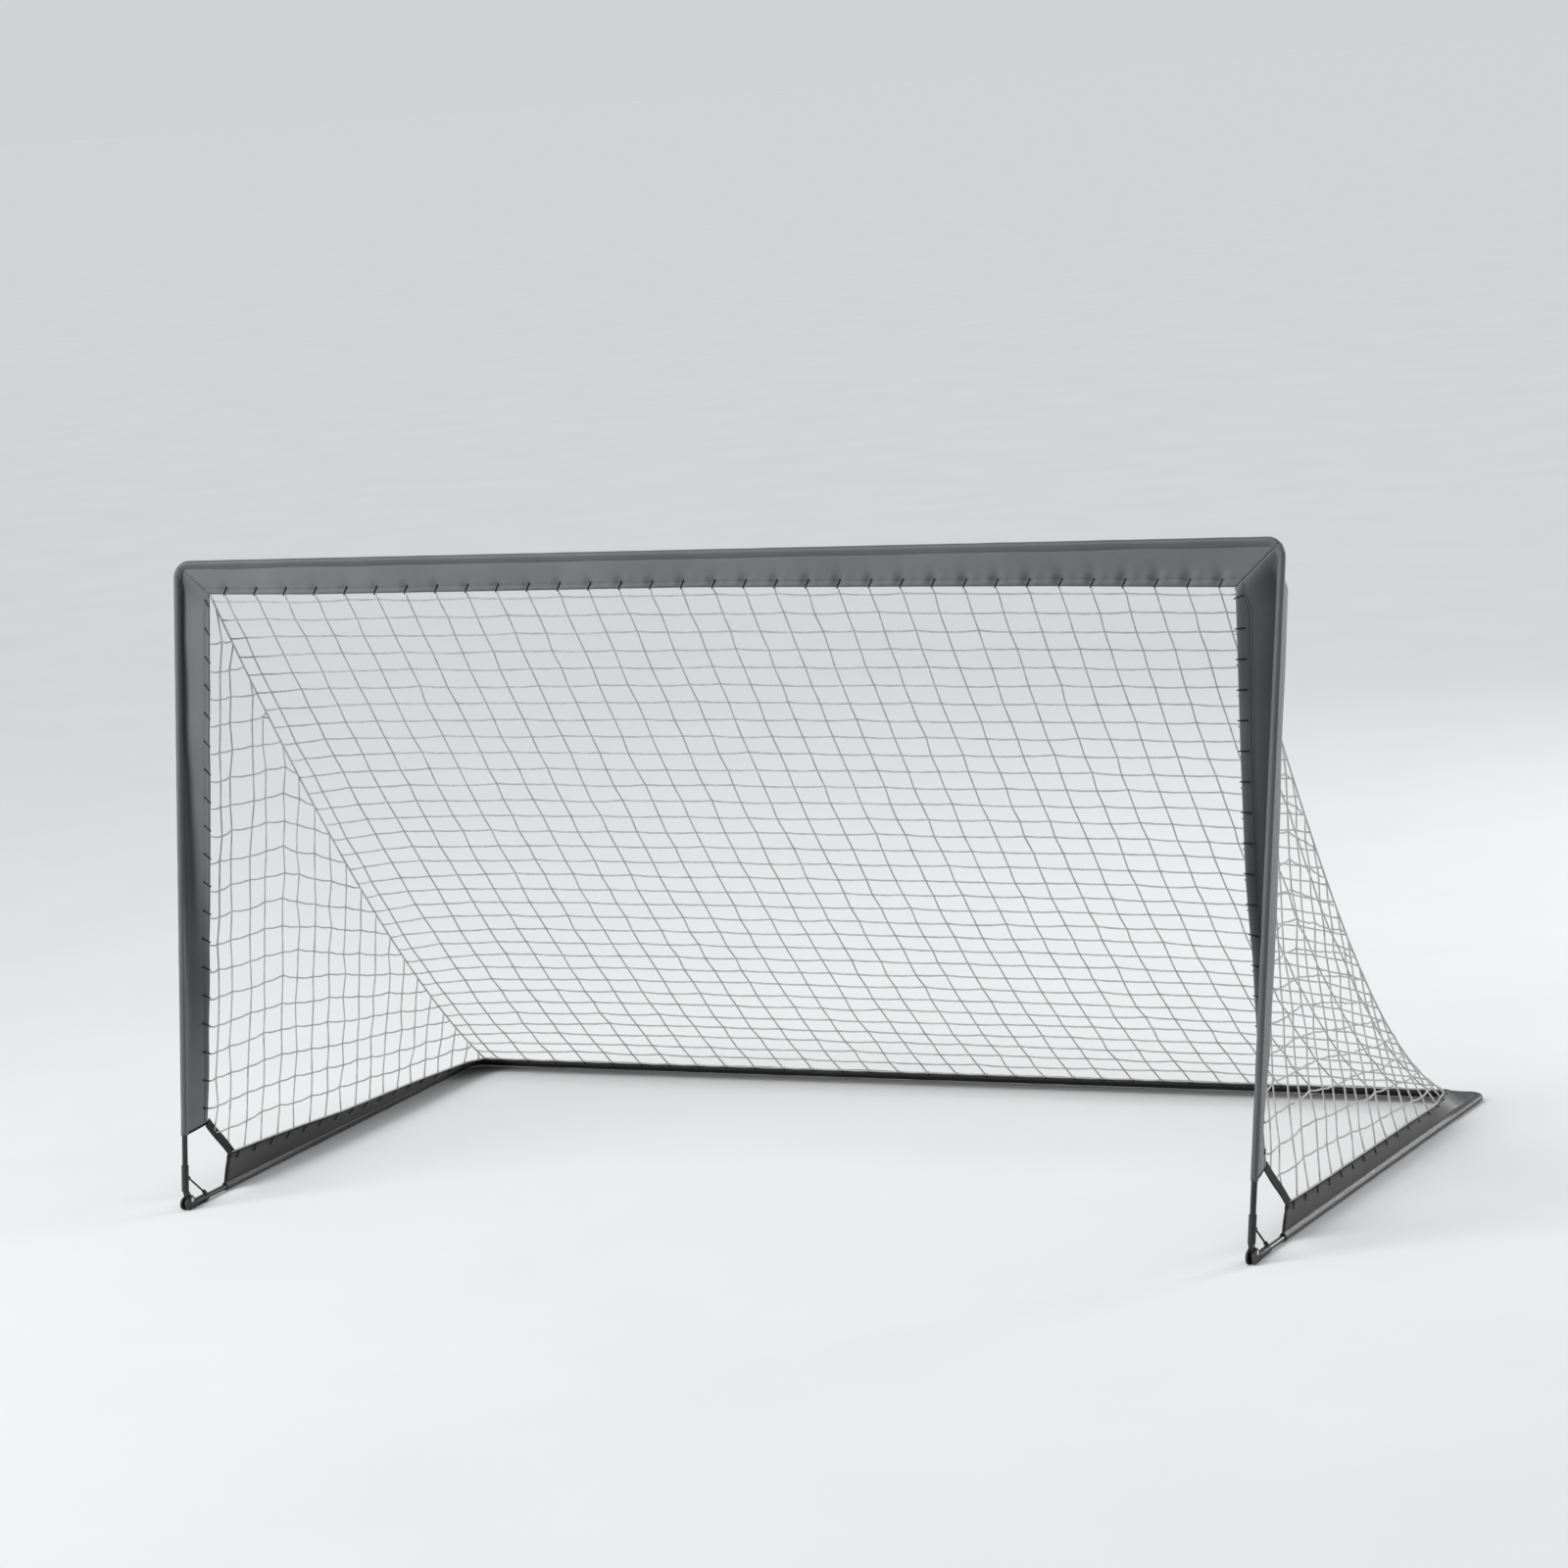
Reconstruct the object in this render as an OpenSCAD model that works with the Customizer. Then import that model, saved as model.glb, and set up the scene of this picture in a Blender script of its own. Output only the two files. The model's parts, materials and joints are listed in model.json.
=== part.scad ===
// Portable folding goal: slim poles in cloth sleeves, with netting.
// +X runs across the mouth, +Y towards the back of the net and +Z up.
// The origin is on the floor, in the middle of the base.
// The front frame and the base are both U-shaped and share one set of modules.

/* [Overall size] */
// Distance between the two front feet, centre to centre
foot_span = 1800; // [1200:10:2400]
// How far each post and each side rail spreads outwards at its far end
leg_spread = 36; // [10:1:80]
// Height of the front frame in its own plane, from floor corner to crossbar
post_length = 1026; // [800:2:1400]
// Length of the base, from the front feet to the rear bar
rail_length = 1000; // [800:2:1400]
// Backward lean of the front frame from upright, in degrees
lean = 11.6; // [6:0.2:18]

/* [Poles] */
// Outer diameter of every pole
pole_d = 9; // [8:0.1:12]
// Wall of every pole
pole_wall = 0.9; // [0.7:0.05:1.2]
// Centre-line radius of the bent corner poles
bend_radius = 22; // [18:1:40]
// Length of a corner pole's spigot inside the next pole
spigot_length = 40; // [25:1:60]
// Length of a spigot's collar, which is pressed into the corner pole
spigot_collar = 2; // [1:0.1:3]
// Length of the ferrule inside each pole joint
ferrule_length = 90; // [60:1:140]
// Wall of the ferrules and of the corner poles' spigots
ferrule_wall = 1.5; // [1.2:0.05:1.6]
// Gap left between two pole ends at a joint
joint_gap = 0.3; // [0.1:0.05:0.6]
// Radial clearance of whatever plugs into something else
plug_clearance = 0.05; // [0.02:0.01:0.1]
// Diameter of the elastic cord inside the poles
shock_cord_d = 3; // [2:0.1:3.4]

/* [Folding feet] */
// Wall of the sockets that hold the poles
socket_wall = 1.25; // [1.2:0.05:2.5]
// Distance from the floor corner to the closed end of a socket
socket_start = 24; // [23:0.5:30]
// Distance from the floor corner to the open end of a socket
socket_end = 66; // [64:1:90]
// Thickness of a socket's closed end
socket_base = 2.5; // [2:0.1:4]
// Offset of the hinge pin from the pole axes, to the inside of the corner
pivot_offset = 9; // [8.5:0.1:10]
// Diameter of the hinge pin
pin_d = 4; // [3:0.1:5]
// Radial clearance of the moving eye on the hinge pin
pin_clearance = 0.05; // [0.02:0.01:0.1]
// Diameter of the hinge pin's heads
pin_head_d = 7.6; // [6.5:0.1:9]
// Thickness of the hinge pin's heads
pin_head_t = 1.2; // [0.8:0.1:2]
// Thickness of the hinge eye on the post foot
eye_t = 6; // [4:0.1:7]
// Radius of the hinge eye
eye_radius = 6; // [5:0.1:6.3]
// Thickness of each hinge cheek on the knuckle
cheek_t = 3; // [2:0.1:4]
// Radius of the cheeks round the pin
cheek_radius = 7; // [6.5:0.1:8]
// Side gap between the eye and each cheek
cheek_gap = 0.15; // [0.1:0.05:0.4]
// Radius of the knuckle's rounded toe
toe_radius = 9.5; // [8:0.1:11]
// Width of the flat sole under the knuckle
sole_w = 9; // [6:0.1:12]
// Length of the flat sole under the knuckle
sole_length = 54; // [30:1:60]
// Thickness of the sole and of the knuckle's floor
sole_t = 2.5; // [1.5:0.1:4]

/* [Stay cords] */
// Diameter of the stay cords
stay_d = 3; // [2:0.1:4]
// Distance of the stay's upper lug from the floor corner, along the post
stay_on_post = 46; // [42:1:50]
// Distance of the stay's lower lug from the floor corner, along the rail
stay_on_rail = 60; // [58:1:64]
// Wall of the stay lugs round their bores
stay_lug_wall = 1.7; // [1.2:0.1:2.4]
// How far a stay lug is sunk into the wall of its socket
stay_lug_bite = 1; // [0.6:0.1:1.3]
// Thickness of the closed end of a stay lug
stay_lug_floor = 1.5; // [1:0.1:2.5]
// Length of the stay lugs
stay_lug_length = 6; // [4:0.1:8]
// Clearance of the stay cord in its lugs
stay_clearance = 0.25; // [0.1:0.05:0.4]

/* [Cloth] */
// Radial ease between a pole and its sleeve
sleeve_ease = 0.4; // [0.3:0.05:0.6]
// Thickness of the sleeve cloth
sleeve_t = 1.1; // [0.8:0.05:1.6]
// Length of the cross sleeves' straight ends, which meet the side sleeves before the bends
sleeve_lead = 6; // [2:0.5:12]
// Distance from the floor corner to the open end of a sleeve
sleeve_start = 122; // [100:1:180]
// Width of the bands sewn to the sleeves
band_w = 58; // [40:1:80]
// Thickness of the bands, two layers of cloth
band_t = 1.6; // [1:0.1:2.4]
// How far a band's lower end slants upwards at its hem
band_slant = 12; // [0:1:30]
// Tilt of the rear band, and of the rail bands' rear ends, from the floor, in degrees
rear_tilt = 15; // [6:1:30]
// How far inside the rail the left side net meets its corner strap
net_inset_left = 25; // [0:1:45]
// How far inside the rail the right side net meets its corner strap
net_inset_right = 3; // [0:1:45]
// Width of the corner straps
strap_w = 14; // [10:1:25]
// Thickness of the corner straps
strap_t = 1.6; // [1:0.1:2.4]
// Gap between two cloth edges that meet
seam_gap = 0.3; // [0.2:0.05:0.8]

/* [Netting] */
// Thickness of the net's twine
twine_d = 3; // [2:0.1:4]
// Sag of the back net below a straight line from crossbar to rear bar
net_sag = 120; // [40:5:160]
// Diameter of the cords along the joins of the nets
hip_cord_d = 3.6; // [3:0.1:6]
// Flat stretches that make up the back net's sag
net_folds = 4; // [3:1:6]
// Gaps across the back net
net_columns = 20; // [8:1:22]
// Rows of gaps in each flat stretch of the back net
net_rows = 3; // [2:1:3]
// Width and height of the side nets' gaps
side_mesh = 66; // [55:1:120]

/* [Hidden] */
$fn = 48;
LEFT = -1;
RIGHT = 1;

// Sizes that follow from the ones above
far_half = foot_span / 2 + leg_spread;
plug_d = pole_d - 2 * pole_wall - 2 * plug_clearance;
plug_bore = plug_d - 2 * ferrule_wall;
sleeve_bore = pole_d + 2 * sleeve_ease;
sleeve_d = sleeve_bore + 2 * sleeve_t;
socket_bore = pole_d + 2 * plug_clearance;
socket_d = socket_bore + 2 * socket_wall;
axis_z = max(socket_d, sleeve_d) / 2;
front_y = -rail_length / 2;
pole_start = socket_start + socket_base + joint_gap;
pivot_along = pivot_offset * (1 + sin(lean)) / cos(lean);
knuckle_w = eye_t + 2 * cheek_gap + 2 * cheek_t;
toe_centre = toe_radius - axis_z;
knuckle_step = 0.5;
shock_knot_d = plug_d - 1;
stay_bore_d = stay_d + 2 * stay_clearance;
stay_lug_d = stay_bore_d + 2 * stay_lug_wall;
stay_offset = socket_d / 2 + stay_lug_d / 2 - stay_lug_bite;
hem_in = sleeve_d / 2 + seam_gap;
hem_out = sleeve_d / 2 + band_w;
net_edge = hem_out + seam_gap + twine_d / 2;
band_steps = 14;
hip_steps = 16;
bend_steps = 8;

// Where the stay cord's two lugs sit, as distances back and up from the floor corner
stay_low = [stay_on_rail, stay_offset];
stay_high = [stay_offset * cos(lean) + stay_on_post * sin(lean),
             stay_on_post * cos(lean) - stay_offset * sin(lean)];
stay_run = stay_high - stay_low;
stay_x = foot_span / 2 + leg_spread * stay_on_rail / rail_length;

function spread_angle(length) = atan(leg_spread / length);
function leg_reach(length) = norm([leg_spread, length]);
function bend_turn(length) = 90 + spread_angle(length);
function bend_tangent(length) = bend_radius * tan(bend_turn(length) / 2);
function leg_end(length) = leg_reach(length) - bend_tangent(length);
function leg_x(along, length) = foot_span / 2 + leg_spread * along / length;
function mix(a, b, share) = a + (b - a) * share;
function limited(t) = min(1, max(0, t));

// The front frame's plane and the base's plane, as points: x across, y square to the plane
// (towards the back in the front frame, downwards in the base) and z along the legs
function from_front(p) = [p.x, front_y + p.y * cos(lean) + p.z * sin(lean),
                          axis_z - p.y * sin(lean) + p.z * cos(lean)];
function from_base(p) = [p.x, front_y + p.z, axis_z - p.y];

module front_plane() { translate([0, front_y, axis_z]) rotate([-lean, 0, 0]) children(); }
module base_plane() { translate([0, front_y, axis_z]) rotate([-90, 0, 0]) children(); }
module handed(side) { mirror([side < 0 ? 1 : 0, 0, 0]) children(); }
module along_leg(length) {
    translate([foot_span / 2, 0, 0]) rotate([0, spread_angle(length), 0]) children();
}
module along_cross(length) { translate([0, 0, length]) rotate([0, -90, 0]) children(); }
module foot_corner() { translate([foot_span / 2, front_y, axis_z]) children(); }
module plate_across_x(thick) { rotate([90, 0, 90]) linear_extrude(thick) children(); }

// Round stock
module ring(outer_d, inner_d) {
    difference() {
        circle(d = outer_d);
        circle(d = inner_d);
    }
}
module tube(outer_d, inner_d, from, to) {
    translate([0, 0, from]) linear_extrude(to - from) ring(outer_d, inner_d);
}
module pole(from, to) { tube(pole_d, pole_d - 2 * pole_wall, from, to); }
module bent(length, from_share, to_share) {
    translate([-bend_radius, 0, leg_end(length)])
        rotate([90, 0, 0])
            rotate([0, 0, from_share * bend_turn(length)])
                rotate_extrude(angle = (to_share - from_share) * bend_turn(length))
                    translate([bend_radius, 0]) children();
}

// Parts that the front frame and the base both have
module lower_pole(length) {
    along_leg(length) pole(pole_start, leg_reach(length) / 2 - joint_gap / 2);
}
module upper_pole(length) {
    along_leg(length) pole(leg_reach(length) / 2 + joint_gap / 2, leg_end(length) - joint_gap);
}
module leg_ferrule(length) {
    along_leg(length)
        tube(plug_d, plug_bore, (leg_reach(length) - ferrule_length) / 2,
             (leg_reach(length) + ferrule_length) / 2);
}
module cross_pole(length) {
    mirror([1, 0, 0])
        along_cross(length) pole(joint_gap / 2, far_half - bend_tangent(length) - joint_gap);
}
module cross_ferrule(length) {
    along_cross(length) tube(plug_d, plug_bore, -ferrule_length / 2, ferrule_length / 2);
}
module spigot() {
    tube(plug_d, plug_bore, -spigot_length, joint_gap + spigot_collar);
    tube(pole_d - pole_wall, plug_bore, joint_gap, joint_gap + spigot_collar);
}
module elbow(length) {
    along_leg(length) {
        bent(length, 0, 1) ring(pole_d, pole_d - 2 * pole_wall);
        translate([0, 0, leg_end(length)]) spigot();
    }
    translate([far_half - bend_tangent(length), 0, 0]) along_cross(length) mirror([0, 0, 1]) spigot();
}
module leg_sleeve(length) {
    along_leg(length) tube(sleeve_d, sleeve_bore, sleeve_start, leg_end(length) - sleeve_lead);
}
module cross_sleeve(length) {
    seam = leg_point(length, leg_end(length) - sleeve_lead);
    route = both_ways([seam, for (t = [0:1 / bend_steps:1]) bend_point(length, t)]);
    hose(route, sleeve_d, sleeve_bore, [0, 1, 0]);
}
module shock_cord(length) {
    start = pole_start + shock_knot_d / 2 + joint_gap;
    half = concat([for (along = [start, leg_reach(length) / 2]) leg_point(length, along)],
                  [for (t = [0:1 / bend_steps:1]) bend_point(length, t)]);
    cord(both_ways(half), shock_cord_d, [0, 1, 0]);
    for (side = [-1, 1]) translate([side * half[0].x, 0, half[0].z]) sphere(d = shock_knot_d);
}

// Points along half a U-shaped frame, in its plane, and the whole route through them
function leg_direction(length) = [leg_spread, 0, length] / leg_reach(length);
function leg_point(length, along) = [foot_span / 2, 0, 0] + along * leg_direction(length);
function bend_point(length, share) =
    let(run = leg_direction(length), inward = [-run.z, 0, run.x], turn = share * bend_turn(length))
    leg_point(length, leg_end(length)) + bend_radius * (sin(turn) * run + (1 - cos(turn)) * inward);
function both_ways(half) = concat(half, [for (p = reversed(half)) [-p.x, p.y, p.z]]);

// Cords and hoses have a ring of corners at each point of a route that stays square to "across"
function rings(points, d, across, sides) =
    let(last = len(points) - 1)
    [for (i = [0:last]) each
        let(run = points[min(i + 1, last)] - points[max(i - 1, 0)],
            up = cross(across, run) / norm(cross(across, run)))
        [for (k = [0:sides - 1])
            points[i] + d / 2 * (cos(360 * k / sides) * across + sin(360 * k / sides) * up)]];
function wall(points, sides) =
    [for (i = [0:len(points) - 2]) for (k = [0:sides - 1])
        each let(a = sides * i + k, b = sides * i + (k + 1) % sides)
        [[a, b, b + sides], [a, b + sides, a + sides]]];
function lid(points, sides) = [for (k = [0:sides - 1]) sides * (len(points) - 1) + k];
function annulus(outer, inner, sides) =
    [for (k = [0:sides - 1]) let(next = (k + 1) % sides) [outer + k, outer + next, inner + next, inner + k]];
function inside_out(faces, first) = [for (face = faces) [for (corner = reversed(face)) first + corner]];
module cord(points, d, across, sides = 8) {
    start_lid = [for (k = [sides - 1:-1:0]) k];
    polyhedron(points = rings(points, d, across, sides),
               faces = concat(wall(points, sides), [start_lid, lid(points, sides)]));
}
module hose(points, outer_d, inner_d, across, sides = 12) {
    count = len(points) * sides;
    polyhedron(points = concat(rings(points, outer_d, across, sides), rings(points, inner_d, across, sides)),
               faces = concat(wall(points, sides), inside_out(wall(points, sides), count),
                              inside_out(annulus(0, count, sides), 0),
                              annulus(count - sides, 2 * count - sides, sides)));
}

// A strip of cloth between two edges, given as matching lists of points
module strip(inner, outer, thick) {
    last = len(inner) - 1;
    points = [for (i = [0:last]) each
        let(next = min(i + 1, last),
            run = inner[next] - inner[next - 1],
            square = cross(run, outer[i] - inner[i]),
            lift = square / norm(square) * thick / 2)
        [inner[i] + lift, outer[i] + lift, outer[i] - lift, inner[i] - lift]];
    sides = [for (i = [0:last - 1]) for (k = [0:3])
        each let(a = 4 * i + k, b = 4 * i + (k + 1) % 4)
        k == 2 ? [[a, b, a + 4], [b, b + 4, a + 4]] : [[a, b, b + 4], [a, b + 4, a + 4]]];
    ends = [[0, 2, 1], [0, 3, 2],
            [4 * last, 4 * last + 1, 4 * last + 2], [4 * last, 4 * last + 2, 4 * last + 3]];
    polyhedron(points = points, faces = concat(sides, ends));
}

// Corners where the net meets two bands, at a distance out from both pole axes
function corner_in(out, length, tilt) =
    let(along = length - out * cos(tilt))
    [leg_x(along, length) - out * cos(tilt), -out * sin(tilt), along];
top_corner = from_front(corner_in(net_edge, post_length, 0));
rear_corner = from_base(corner_in(net_edge, rail_length, rear_tilt));

// Each side net hangs in a sloping plane: x falls by slope.x per length back and slope.y per height
function net_low_x(side) =
    leg_x(sleeve_start, rail_length) - (side == LEFT ? net_inset_left : net_inset_right);
function net_slope(side) =
    let(top = [top_corner.y - front_y, top_corner.z], rear = [rear_corner.y - front_y, rear_corner.z],
        top_in = net_low_x(side) - top_corner.x, rear_in = net_low_x(side) - rear_corner.x,
        spread = rear.x * top.y - top.x * rear.y)
    [rear_in * top.y - top_in * rear.y, rear.x * top_in - top.x * rear_in] / spread;
function net_x(side, y, z) =
    let(slope = net_slope(side)) net_low_x(side) - slope.x * (y - front_y) - slope.y * z;

// The bands turn about their poles so that their hems stay in the side net's plane
function hem_turn(reach, slope) = let(lead = atan(slope)) acos(limited(reach * cos(lead) / net_edge)) - lead;
function post_turn(side, along) =
    let(slope = net_slope(side), pole = from_front([leg_x(along, post_length), 0, along]))
    hem_turn(pole.x - net_x(side, pole.y, pole.z), slope.x * cos(lean) - slope.y * sin(lean));
function rail_turn(side, along) =
    let(slope = net_slope(side), pole = from_base([leg_x(along, rail_length), 0, along]))
    hem_turn(pole.x - net_x(side, pole.y, pole.z), slope.y);

// Points on the bands: share runs from the foot to the far corner
function band_start(out) = sleeve_start + band_slant * (out - hem_in) / (hem_out - hem_in);
function post_band_point(side, out, share) =
    let(along = mix(band_start(out), corner_in(out, post_length, 0).z, share),
        turn = post_turn(side, along))
    [leg_x(along, post_length) - out * cos(turn), out * sin(turn), along];
function rail_band_point(side, out, share) =
    let(along = mix(band_start(out), corner_in(out, rail_length, rear_tilt).z, share),
        turn = rail_turn(side, along))
    [leg_x(along, rail_length) - out * cos(turn), -out * sin(turn), along];

// The sagging line along which a side net joins the back net
function hip_point(side, share) =
    let(y = mix(top_corner.y, rear_corner.y, share),
        z = mix(top_corner.z, rear_corner.z, share) - 4 * net_sag * share * (1 - share))
    [net_x(side, y, z), y, z];

// The side net's own flat sheet: along runs backwards and height upwards in its plane
function sheet_axes(side) =
    let(slope = net_slope(side), back = [-slope.x, 1, 0] / norm([slope.x, 1]),
        face = [1, slope.x, slope.y] / norm([1, slope.x, slope.y]))
    [face, back, cross(face, back)];
function on_sheet(side, p) =
    let(axes = sheet_axes(side), from = p - [net_low_x(side), front_y, 0])
    [from * axes[1], from * axes[2]];
module in_net_plane(side) {
    a = sheet_axes(side);
    multmatrix([[a[0].x, a[1].x, a[2].x, net_low_x(side)],
                [a[0].y, a[1].y, a[2].y, front_y],
                [a[0].z, a[1].z, a[2].z, 0]]) children();
}

// A flat line moved sideways to its left by a distance, and the strip between the two
function shifted(line, by) =
    let(last = len(line) - 1)
    [for (i = [0:last])
        let(run = line[min(i + 1, last)] - line[max(i - 1, 0)])
        line[i] + by * [-run.y, run.x] / norm(run)];
function reversed(line) = [for (i = [len(line) - 1:-1:0]) line[i]];
module ribbon(line, by) { polygon(concat(line, reversed(shifted(line, by)))); }

// ---- Sub-parts ----
charcoal = [0.2, 0.2, 0.21];
black = [0.05, 0.05, 0.055];
steel = [0.55, 0.55, 0.57];
twine = [0.68, 0.68, 0.66];

module crossbar_pole(side) { color(black) front_plane() handed(side) cross_pole(post_length); }
module crossbar_ferrule() { color(steel) front_plane() cross_ferrule(post_length); }
module top_elbow(side) { color(black) front_plane() handed(side) elbow(post_length); }
module post_pole_lower(side) { color(black) front_plane() handed(side) lower_pole(post_length); }
module post_pole_upper(side) { color(black) front_plane() handed(side) upper_pole(post_length); }
module post_ferrule(side) { color(steel) front_plane() handed(side) leg_ferrule(post_length); }
module front_shock_cord() { color("dimgray") front_plane() shock_cord(post_length); }
module crossbar_sleeve() { color(charcoal) front_plane() cross_sleeve(post_length); }
module post_sleeve(side) { color(charcoal) front_plane() handed(side) leg_sleeve(post_length); }

module rail_pole_front(side) { color(black) base_plane() handed(side) lower_pole(rail_length); }
module rail_pole_rear(side) { color(black) base_plane() handed(side) upper_pole(rail_length); }
module rail_ferrule(side) { color(steel) base_plane() handed(side) leg_ferrule(rail_length); }
module rear_elbow(side) { color(black) base_plane() handed(side) elbow(rail_length); }
module rear_pole(side) { color(black) base_plane() handed(side) cross_pole(rail_length); }
module rear_ferrule() { color(steel) base_plane() cross_ferrule(rail_length); }
module base_shock_cord() { color("dimgray") base_plane() shock_cord(rail_length); }
module rail_sleeve(side) { color(charcoal) base_plane() handed(side) leg_sleeve(rail_length); }
module rear_sleeve() { color(charcoal) base_plane() cross_sleeve(rail_length); }

// The lug that holds an end of a stay cord, at a point back and up from the floor corner
module at_stay(place) {
    translate([stay_x, front_y + place.x, axis_z + place.y])
        rotate([-atan2(stay_run.x, stay_run.y), 0, 0]) children();
}
module stay_lug(place) { at_stay(place) cylinder(d = stay_lug_d, h = stay_lug_length, center = true); }
module stay_bore(place, facing) {
    at_stay(place) translate([0, 0, facing * stay_lug_floor])
        cylinder(d = stay_bore_d, h = stay_lug_length, center = true);
}
module pin_hole(d) {
    foot_corner() translate([0, pivot_along, pivot_offset])
        rotate([0, 90, 0]) cylinder(d = d, h = 2 * knuckle_w, center = true);
}

// Moving half of a foot: a socket for the post, with the hinge eye below it
module post_foot(side) {
    eye = [pivot_offset, pivot_along];
    aim = ([0, socket_start] - eye) / norm([0, socket_start] - eye);
    edge = 0.98 * eye_radius * [aim.y, -aim.x];
    shoulder = socket_d / 2 - 0.5;
    color(black) handed(side) difference() {
        union() {
            front_plane() along_leg(post_length)
                translate([0, 0, socket_start]) cylinder(d = socket_d, h = socket_end - socket_start);
            front_plane() translate([foot_span / 2 - eye_t / 2, 0, 0]) plate_across_x(eye_t) {
                translate(eye) circle(r = eye_radius);
                polygon([[-shoulder, socket_start + 1], eye - edge, eye + edge,
                         [shoulder, socket_start + 1]]);
            }
            stay_lug(stay_high);
        }
        front_plane() along_leg(post_length)
            translate([0, 0, socket_start + socket_base]) cylinder(d = socket_bore, h = socket_end);
        pin_hole(pin_d + 2 * pin_clearance);
        stay_bore(stay_high, -1);
    }
}

// Side view of a hinge cheek, measured back and up from the floor corner
module cheek_outline() {
    pivot = [pivot_along, pivot_offset];
    toe = [toe_centre, toe_centre];
    off = [toe.y - pivot.y, pivot.x - toe.x] / norm(pivot - toe);
    translate(pivot) circle(r = cheek_radius);
    translate(toe) circle(r = toe_radius);
    polygon([toe, toe + toe_radius * off, pivot + cheek_radius * off, pivot]);
    polygon([[toe.x, -axis_z], [socket_start + knuckle_step, -axis_z], [socket_start + knuckle_step, axis_z],
             pivot + 0.98 * cheek_radius * [0.8, 0.6], pivot, toe]);
}

// Fixed half of a foot: hinge cheeks, flat sole and a socket for the side rail
module foot_knuckle(side) {
    heel = pivot_along + eye_radius + 2;
    web_w = knuckle_w - cheek_t;
    color(black) handed(side) difference() {
        union() {
            for (x = [-knuckle_w / 2, knuckle_w / 2 - cheek_t])
                foot_corner() translate([x, 0, 0]) plate_across_x(cheek_t) cheek_outline();
            foot_corner() translate([-web_w / 2, heel, -axis_z])
                cube([web_w, socket_start + socket_base / 2 - heel, 2 * axis_z - knuckle_step]);
            foot_corner() translate([-web_w / 2, toe_centre, -axis_z])
                cube([web_w, heel - toe_centre + 1, sole_t]);
            foot_corner() translate([-sole_w / 2, toe_centre, -axis_z])
                cube([sole_w, sole_length, sole_t - 1]);
            base_plane() along_leg(rail_length)
                translate([0, 0, socket_start]) cylinder(d = socket_d, h = socket_end - socket_start);
            stay_lug(stay_low);
        }
        base_plane() along_leg(rail_length)
            translate([0, 0, socket_start + socket_base]) cylinder(d = socket_bore, h = socket_end);
        pin_hole(pin_d);
        stay_bore(stay_low, 1);
    }
}

module hinge_pin(side) {
    color(steel) handed(side) foot_corner() translate([0, pivot_along, pivot_offset]) rotate([0, 90, 0]) {
        cylinder(d = pin_d, h = knuckle_w + pin_head_t, center = true);
        for (end = [-1, 1])
            translate([0, 0, end * (knuckle_w + pin_head_t) / 2])
                cylinder(d = pin_head_d, h = pin_head_t, center = true);
    }
}

module stay_cord(side) {
    held = stay_lug_length / 2 - stay_lug_floor - stay_clearance;
    color(black) handed(side) at_stay((stay_low + stay_high) / 2)
        cylinder(d = stay_d, h = norm(stay_run) + 2 * held, center = true);
}

// Room for the sleeve round the bent corner, taken out of the bands
module corner_room(length) {
    for (side = [LEFT, RIGHT]) handed(side)
        along_leg(length) translate([-bend_radius, 0, leg_end(length)])
            rotate([90, 0, 0]) linear_extrude(band_w, center = true) difference() {
                square(2 * bend_radius);
                circle(r = bend_radius - sleeve_d / 2 - 2 * seam_gap);
            }
}

module post_band(side) {
    steps = [0:1 / band_steps:1];
    color(charcoal) handed(side) front_plane() difference() {
        strip([for (t = steps) post_band_point(side, hem_in, t)],
              [for (t = steps) post_band_point(side, hem_out, t)], band_t);
        corner_room(post_length);
    }
}
module rail_band(side) {
    steps = [0:1 / band_steps:1];
    color(charcoal) handed(side) base_plane() difference() {
        strip([for (t = steps) rail_band_point(side, hem_in, t)],
              [for (t = steps) rail_band_point(side, hem_out, t)], band_t);
        corner_room(rail_length);
    }
}
module cross_band(length, tilt) {
    mitre_gap = seam_gap + band_t * sin(tilt);
    upper = corner_in(hem_in, length, tilt).x - mitre_gap;
    lower = corner_in(hem_out, length, tilt).x - mitre_gap;
    difference() {
        translate([0, 0, length]) rotate([90 - tilt, 0, 0]) linear_extrude(band_t, center = true)
            polygon([[-upper, -hem_in], [-lower, -hem_out], [lower, -hem_out], [upper, -hem_in]]);
        corner_room(length);
    }
}
module crossbar_band() { color(charcoal) front_plane() cross_band(post_length, 0); }
module rear_band() { color(charcoal) base_plane() cross_band(rail_length, rear_tilt); }

// Lines round a side net on its sheet, each with the net on its left
function rail_hem(side) =
    [for (t = [0:1 / band_steps:1]) on_sheet(side, from_base(rail_band_point(side, net_edge, t)))];
function post_hem(side) =
    [for (t = [1:-1 / band_steps:0]) on_sheet(side, from_front(post_band_point(side, net_edge, t)))];
function hip_line(side) = [for (t = [1:-1 / hip_steps:0]) on_sheet(side, hip_point(side, t))];
function strap_line(side) =
    let(hem = post_hem(side)) [hem[len(hem) - 1], rail_hem(side)[0]];

// Webbing from the lower end of the post's band to the front end of the rail's band
module corner_strap(side) {
    color(black) handed(side) in_net_plane(side) plate_across_x(strap_t)
        ribbon(shifted(strap_line(side), -seam_gap), -strap_w);
}

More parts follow.
